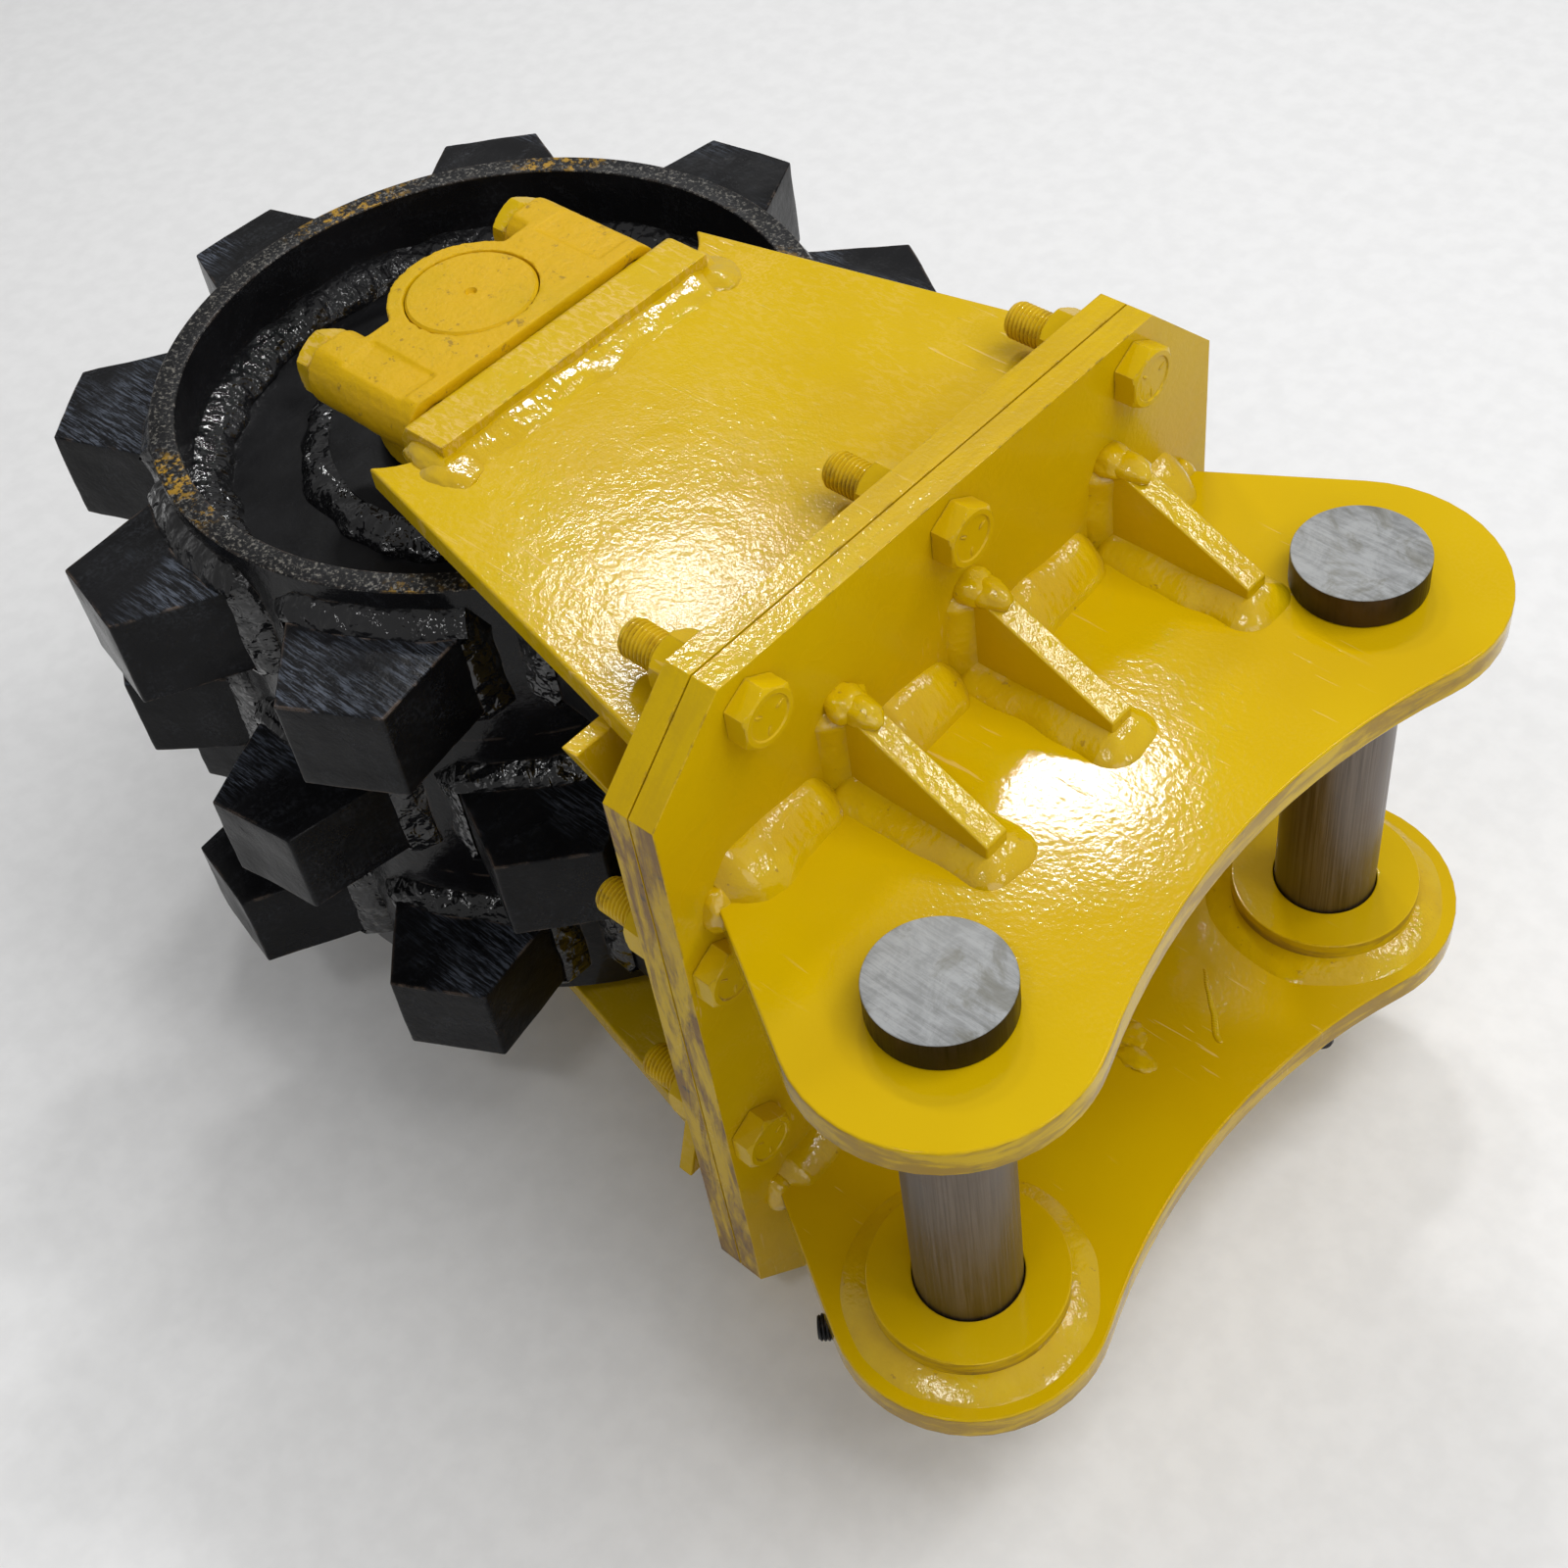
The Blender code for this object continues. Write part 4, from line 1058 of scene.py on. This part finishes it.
def foot_mesh(row, number):
    """A tamping foot: a wedge with knocked edges and slightly hollow, dented faces."""
    seed = row * 20 + number
    half = FOOT_LENGTH / 2
    bm = bmesh.new()
    corners = []
    for radius, width in ((FOOT_ROOT_R, FOOT_ROOT_WIDTH), (FOOT_TIP_R, FOOT_TIP_WIDTH)):
        for z in (-half, half):
            for side in (-1, 1):
                corners.append(bm.verts.new((radius, side * width / 2, z)))
    for face in ((0, 1, 3, 2), (4, 6, 7, 5), (0, 4, 5, 1), (2, 3, 7, 6), (0, 2, 6, 4), (1, 5, 7, 3)):
        bm.faces.new([corners[i] for i in face])
    bmesh.ops.recalc_face_normals(bm, faces=bm.faces)
    bmesh.ops.bevel(bm, geom=list(bm.edges), offset=0.0019, segments=3, profile=0.6,
                    affect="EDGES", clamp_overlap=True)
    bmesh.ops.triangulate(bm, faces=[face for face in bm.faces if face.calc_area() > 0.0004])
    for _ in range(4):
        long_edges = [edge for edge in bm.edges if edge.calc_length() > 0.007]
        bmesh.ops.subdivide_edges(bm, edges=long_edges, cuts=1)
        bmesh.ops.triangulate(bm, faces=[face for face in bm.faces if len(face.verts) > 4])
    bmesh.ops.recalc_face_normals(bm, faces=bm.faces)
    bm.normal_update()
    for vert in bm.verts:
        spot = vert.co + Vector((seed * 0.31, seed * 0.17, 0))
        dent = noise.noise(spot * 42) * 0.00045 + noise.noise(spot * 150) * 0.00022
        vert.co = vert.co + vert.normal * (dent - 0.0006)
    turn = Matrix.Rotation(foot_angle(row, number), 4, "Z")
    place = Matrix.Translation(AXLE_FOOT + Z * row_level(row))
    bmesh.ops.transform(bm, verts=bm.verts, matrix=place @ turn)
    mesh = to_mesh(bm, "foot")
    for face in mesh.polygons:
        face.material_index = 2
    return mesh


def foot_weld(row, number):
    """The bead round a foot's root, following the shell."""
    level = row_level(row)
    base = foot_angle(row, number)
    slope = (FOOT_ROOT_WIDTH - FOOT_TIP_WIDTH) / 2 / (FOOT_TIP_R - FOOT_ROOT_R)
    half_width = FOOT_ROOT_WIDTH / 2 - slope * (DRUM_R - FOOT_ROOT_R)
    half_angle = math.asin(half_width / DRUM_R)
    half_length = FOOT_LENGTH / 2
    outline = []
    corners = ((-1, -1), (1, -1), (1, 1), (-1, 1), (-1, -1))
    sides = ((0, -1), (1, 0), (0, 1), (-1, 0))
    for start, end, steps, side in zip(corners, corners[1:], (26, 14, 26, 14), sides):
        for i in range(steps):
            along = start[0] + (end[0] - start[0]) * i / steps
            upward = start[1] + (end[1] - start[1]) * i / steps
            outline.append((half_angle * along, half_length * upward, side))
    path = []
    outward = []
    upright = []
    for angle, z, side in outline:
        turn = base + angle
        radial = Vector((math.cos(turn), math.sin(turn), 0))
        tangent = Vector((-math.sin(turn), math.cos(turn), 0))
        path.append(AXLE_FOOT + Z * (level + z) + radial * (DRUM_R - 0.0003))
        outward.append(tangent * side[0] + Z * side[1])
        lean = -side[0] * slope
        upright.append((radial + tangent * lean).normalized())
    mesh = weld(path, outward, upright, (0.0085, 0.0095), row * 11 + number, round_power=1.5,
                ripple=0.0002, rough=0.25, grain=0.12, closed=True)
    for face in mesh.polygons:
        face.material_index = 3
    return mesh


def ring_lumps(centre, radius, up, count, size, seed):
    """Starts, stops and drops of weld metal, scattered along a ring weld."""
    parts = []
    for step in range(count):
        angle = 2 * math.pi * (step + 0.8 * wobble(step * 3.3, seed)) / count
        radial = Vector((math.cos(angle), math.sin(angle), 0))
        grow = 1 + 0.5 * wobble(step * 5.1, seed + 2)
        away = radius + 0.004 * wobble(step * 7.7, seed + 4)
        place = centre + radial * away + Z * up * 0.0022
        parts.append(blob(place, (size * grow, size * 1.5 * grow, size * 0.75 * grow), seed + step,
                          Matrix.Rotation(angle, 3, "Z"), lump=0.35))
    return parts


def build_drum():
    slots = [BLACK_SHELL, BLACK_RIM, BLACK_FOOT, BLACK_WELD]
    for row, level in enumerate(("upper", "middle", "lower")):
        parts = [ring_mesh(row)]
        for number in range(FEET_PER_ROW):
            parts.append(foot_mesh(row, number))
            parts.append(foot_weld(row, number))
        add_piece("footed_ring_" + level, merge(parts), "drum", slots,
                  ["drum_ring_" + level])
    for level, up in (("upper", 1), ("lower", -1)):
        node = "web_disc_" + level
        a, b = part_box(node)
        outer = DRUM_BORE_R - 0.0004
        profile = [(ROLLER_R + 0.0004, a.z), (outer, a.z), (outer, b.z), (ROLLER_R + 0.0004, b.z)]
        add_piece("web_" + level, lathe(profile, AXLE_FOOT, count=160, hollow=True), "drum",
                  [BLACK_WEB], [node])
        face = b.z if up > 0 else a.z
        centre = AXLE_FOOT + Z * face
        rim = ring_weld(centre, DRUM_BORE_R, True, Z * up, (0.0150, 0.0115), 5 + up,
                        round_power=1.7, ripple=0.0004, pitch=0.0050, rough=0.28, grain=0.12)
        lumps = ring_lumps(centre, DRUM_BORE_R - 0.0065, up, 30, 0.0042, 40 + up)
        add_piece("weld_rim_" + level, merge([rim] + lumps), "drum", [BLACK_WELD])
        hub = ring_weld(centre, ROLLER_R, False, Z * up, (0.0150, 0.0085), 15 + up,
                        round_power=2.0, ripple=0.0005, pitch=0.0060, rough=0.32, grain=0.15)
        lumps = ring_lumps(centre, ROLLER_R + 0.0080, up, 20, 0.0058, 60 + up)
        add_piece("weld_hub_" + level, merge([hub] + lumps), "drum", [BLACK_WELD])
    shell = to_mesh(cad_solid("roller_shell"), "shell")
    add_piece("roller_body", shell, "drum", [BLACK_WEB], ["roller_shell"])


def build_inner_parts():
    """Parts inside the roller keep their CAD shape and get their own metal."""
    for name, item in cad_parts.items():
        look = None
        if name.startswith("bushing"):
            look = BRONZE
        if name.startswith(("seal_ring", "collar_pin")):
            look = GROUND
        if look is not None:
            item.data.materials.clear()
            item.data.materials.append(look)


# Stage -----------------------------------------------------

def build_stage():
    floor_bm = bmesh.new()
    bmesh.ops.create_grid(floor_bm, x_segments=8, y_segments=8, size=6.0)
    floor = linked("floor", to_mesh(floor_bm, "floor"))
    floor.location = (0, 0, CAD_LOW.z)
    p = Paint("floor_pale")
    speck = p.band(p.noise(60, 3), 0.3, 0.7)
    colour = p.blend(speck, (0.80, 0.80, 0.80, 1), (0.84, 0.84, 0.84, 1))
    floor.data.materials.append(p.finish(colour, p.band(p.noise(20, 2), 0.3, 0.7, 0.55, 0.65)))
    world = bpy.data.worlds.new("studio")
    bpy.context.scene.world = world
    world.use_nodes = True
    background = world.node_tree.nodes["Background"]
    background.inputs["Color"].default_value = (1.0, 1.0, 1.0, 1.0)
    background.inputs["Strength"].default_value = 0.34


def add_light(name, place, target, size, power):
    lamp = bpy.data.lights.new(name, "AREA")
    lamp.shape = "RECTANGLE"
    lamp.size = size[0]
    lamp.size_y = size[1]
    lamp.energy = power
    made = linked(name, lamp)
    made.location = place
    made.rotation_euler = (target - place).to_track_quat("-Z", "Y").to_euler()
    return made


GLINT_DIRECTIONS = ((0.27, 0.55, 0.79), (0.74, 0.12, 0.66), (0.10, -0.52, 0.85))


def build_lights():
    """Two windows are mirrored by the ear and the side plate; three strips glint on the welds."""
    ear_spot = Vector((0.226, -0.025, high("ear_plate_upper").z))
    plate_spot = Vector((0.091, -0.082, high("side_plate_upper").z))
    ear_light = ear_spot + Vector((-0.409, 0.513, 0.754)) * WINDOW_AWAY
    plate_light = plate_spot + Vector((-0.576, 0.446, 0.685)) * WINDOW_AWAY
    add_light("window_a", ear_light, ear_spot, (0.24, 0.12), 8)
    add_light("window_b", plate_light, plate_spot, (0.26, 0.12), 6)
    for number, direction in enumerate(GLINT_DIRECTIONS):
        strip_at = ear_spot + Vector(direction) * WINDOW_AWAY
        add_light("strip_%d" % number, strip_at, ear_spot, (0.45, 0.16), 4.0)
    softbox = add_light("top_softbox", Vector((1.0, 0.5, 2.4)), Vector((0, 0, 0.2)), (1.6, 1.6), 28)
    softbox.visible_glossy = False
    add_light("front_softbox", Vector((2.2, -1.2, 1.5)), Vector((0.1, 0, 0.2)), (1.6, 1.2), 8)


def build_camera():
    """Three-quarter view from above the ears' left end, 48 degrees down and a little rolled."""
    place = Vector((0.56445, -0.4486, 0.9192))
    forward = Vector((-0.50584, 0.43236, -0.74646))
    right = Vector((0.73596, 0.66770, -0.11199))
    up = right.cross(forward)
    turn = Matrix((right, up, -forward)).transposed()
    lens = bpy.data.cameras.new("camera")
    lens.sensor_width = 36.0
    lens.lens = 50.42
    lens.clip_start = 0.01
    camera = linked("camera", lens)
    camera.matrix_world = Matrix.Translation(place) @ turn.to_4x4()
    bpy.context.scene.camera = camera


build_camera()
build_plates()
build_frame_welds()
build_pins()
build_bolts()
build_collars()
build_drum()
build_inner_parts()
build_stage()
build_lights()
bpy.context.scene.view_settings.view_transform = "Standard"
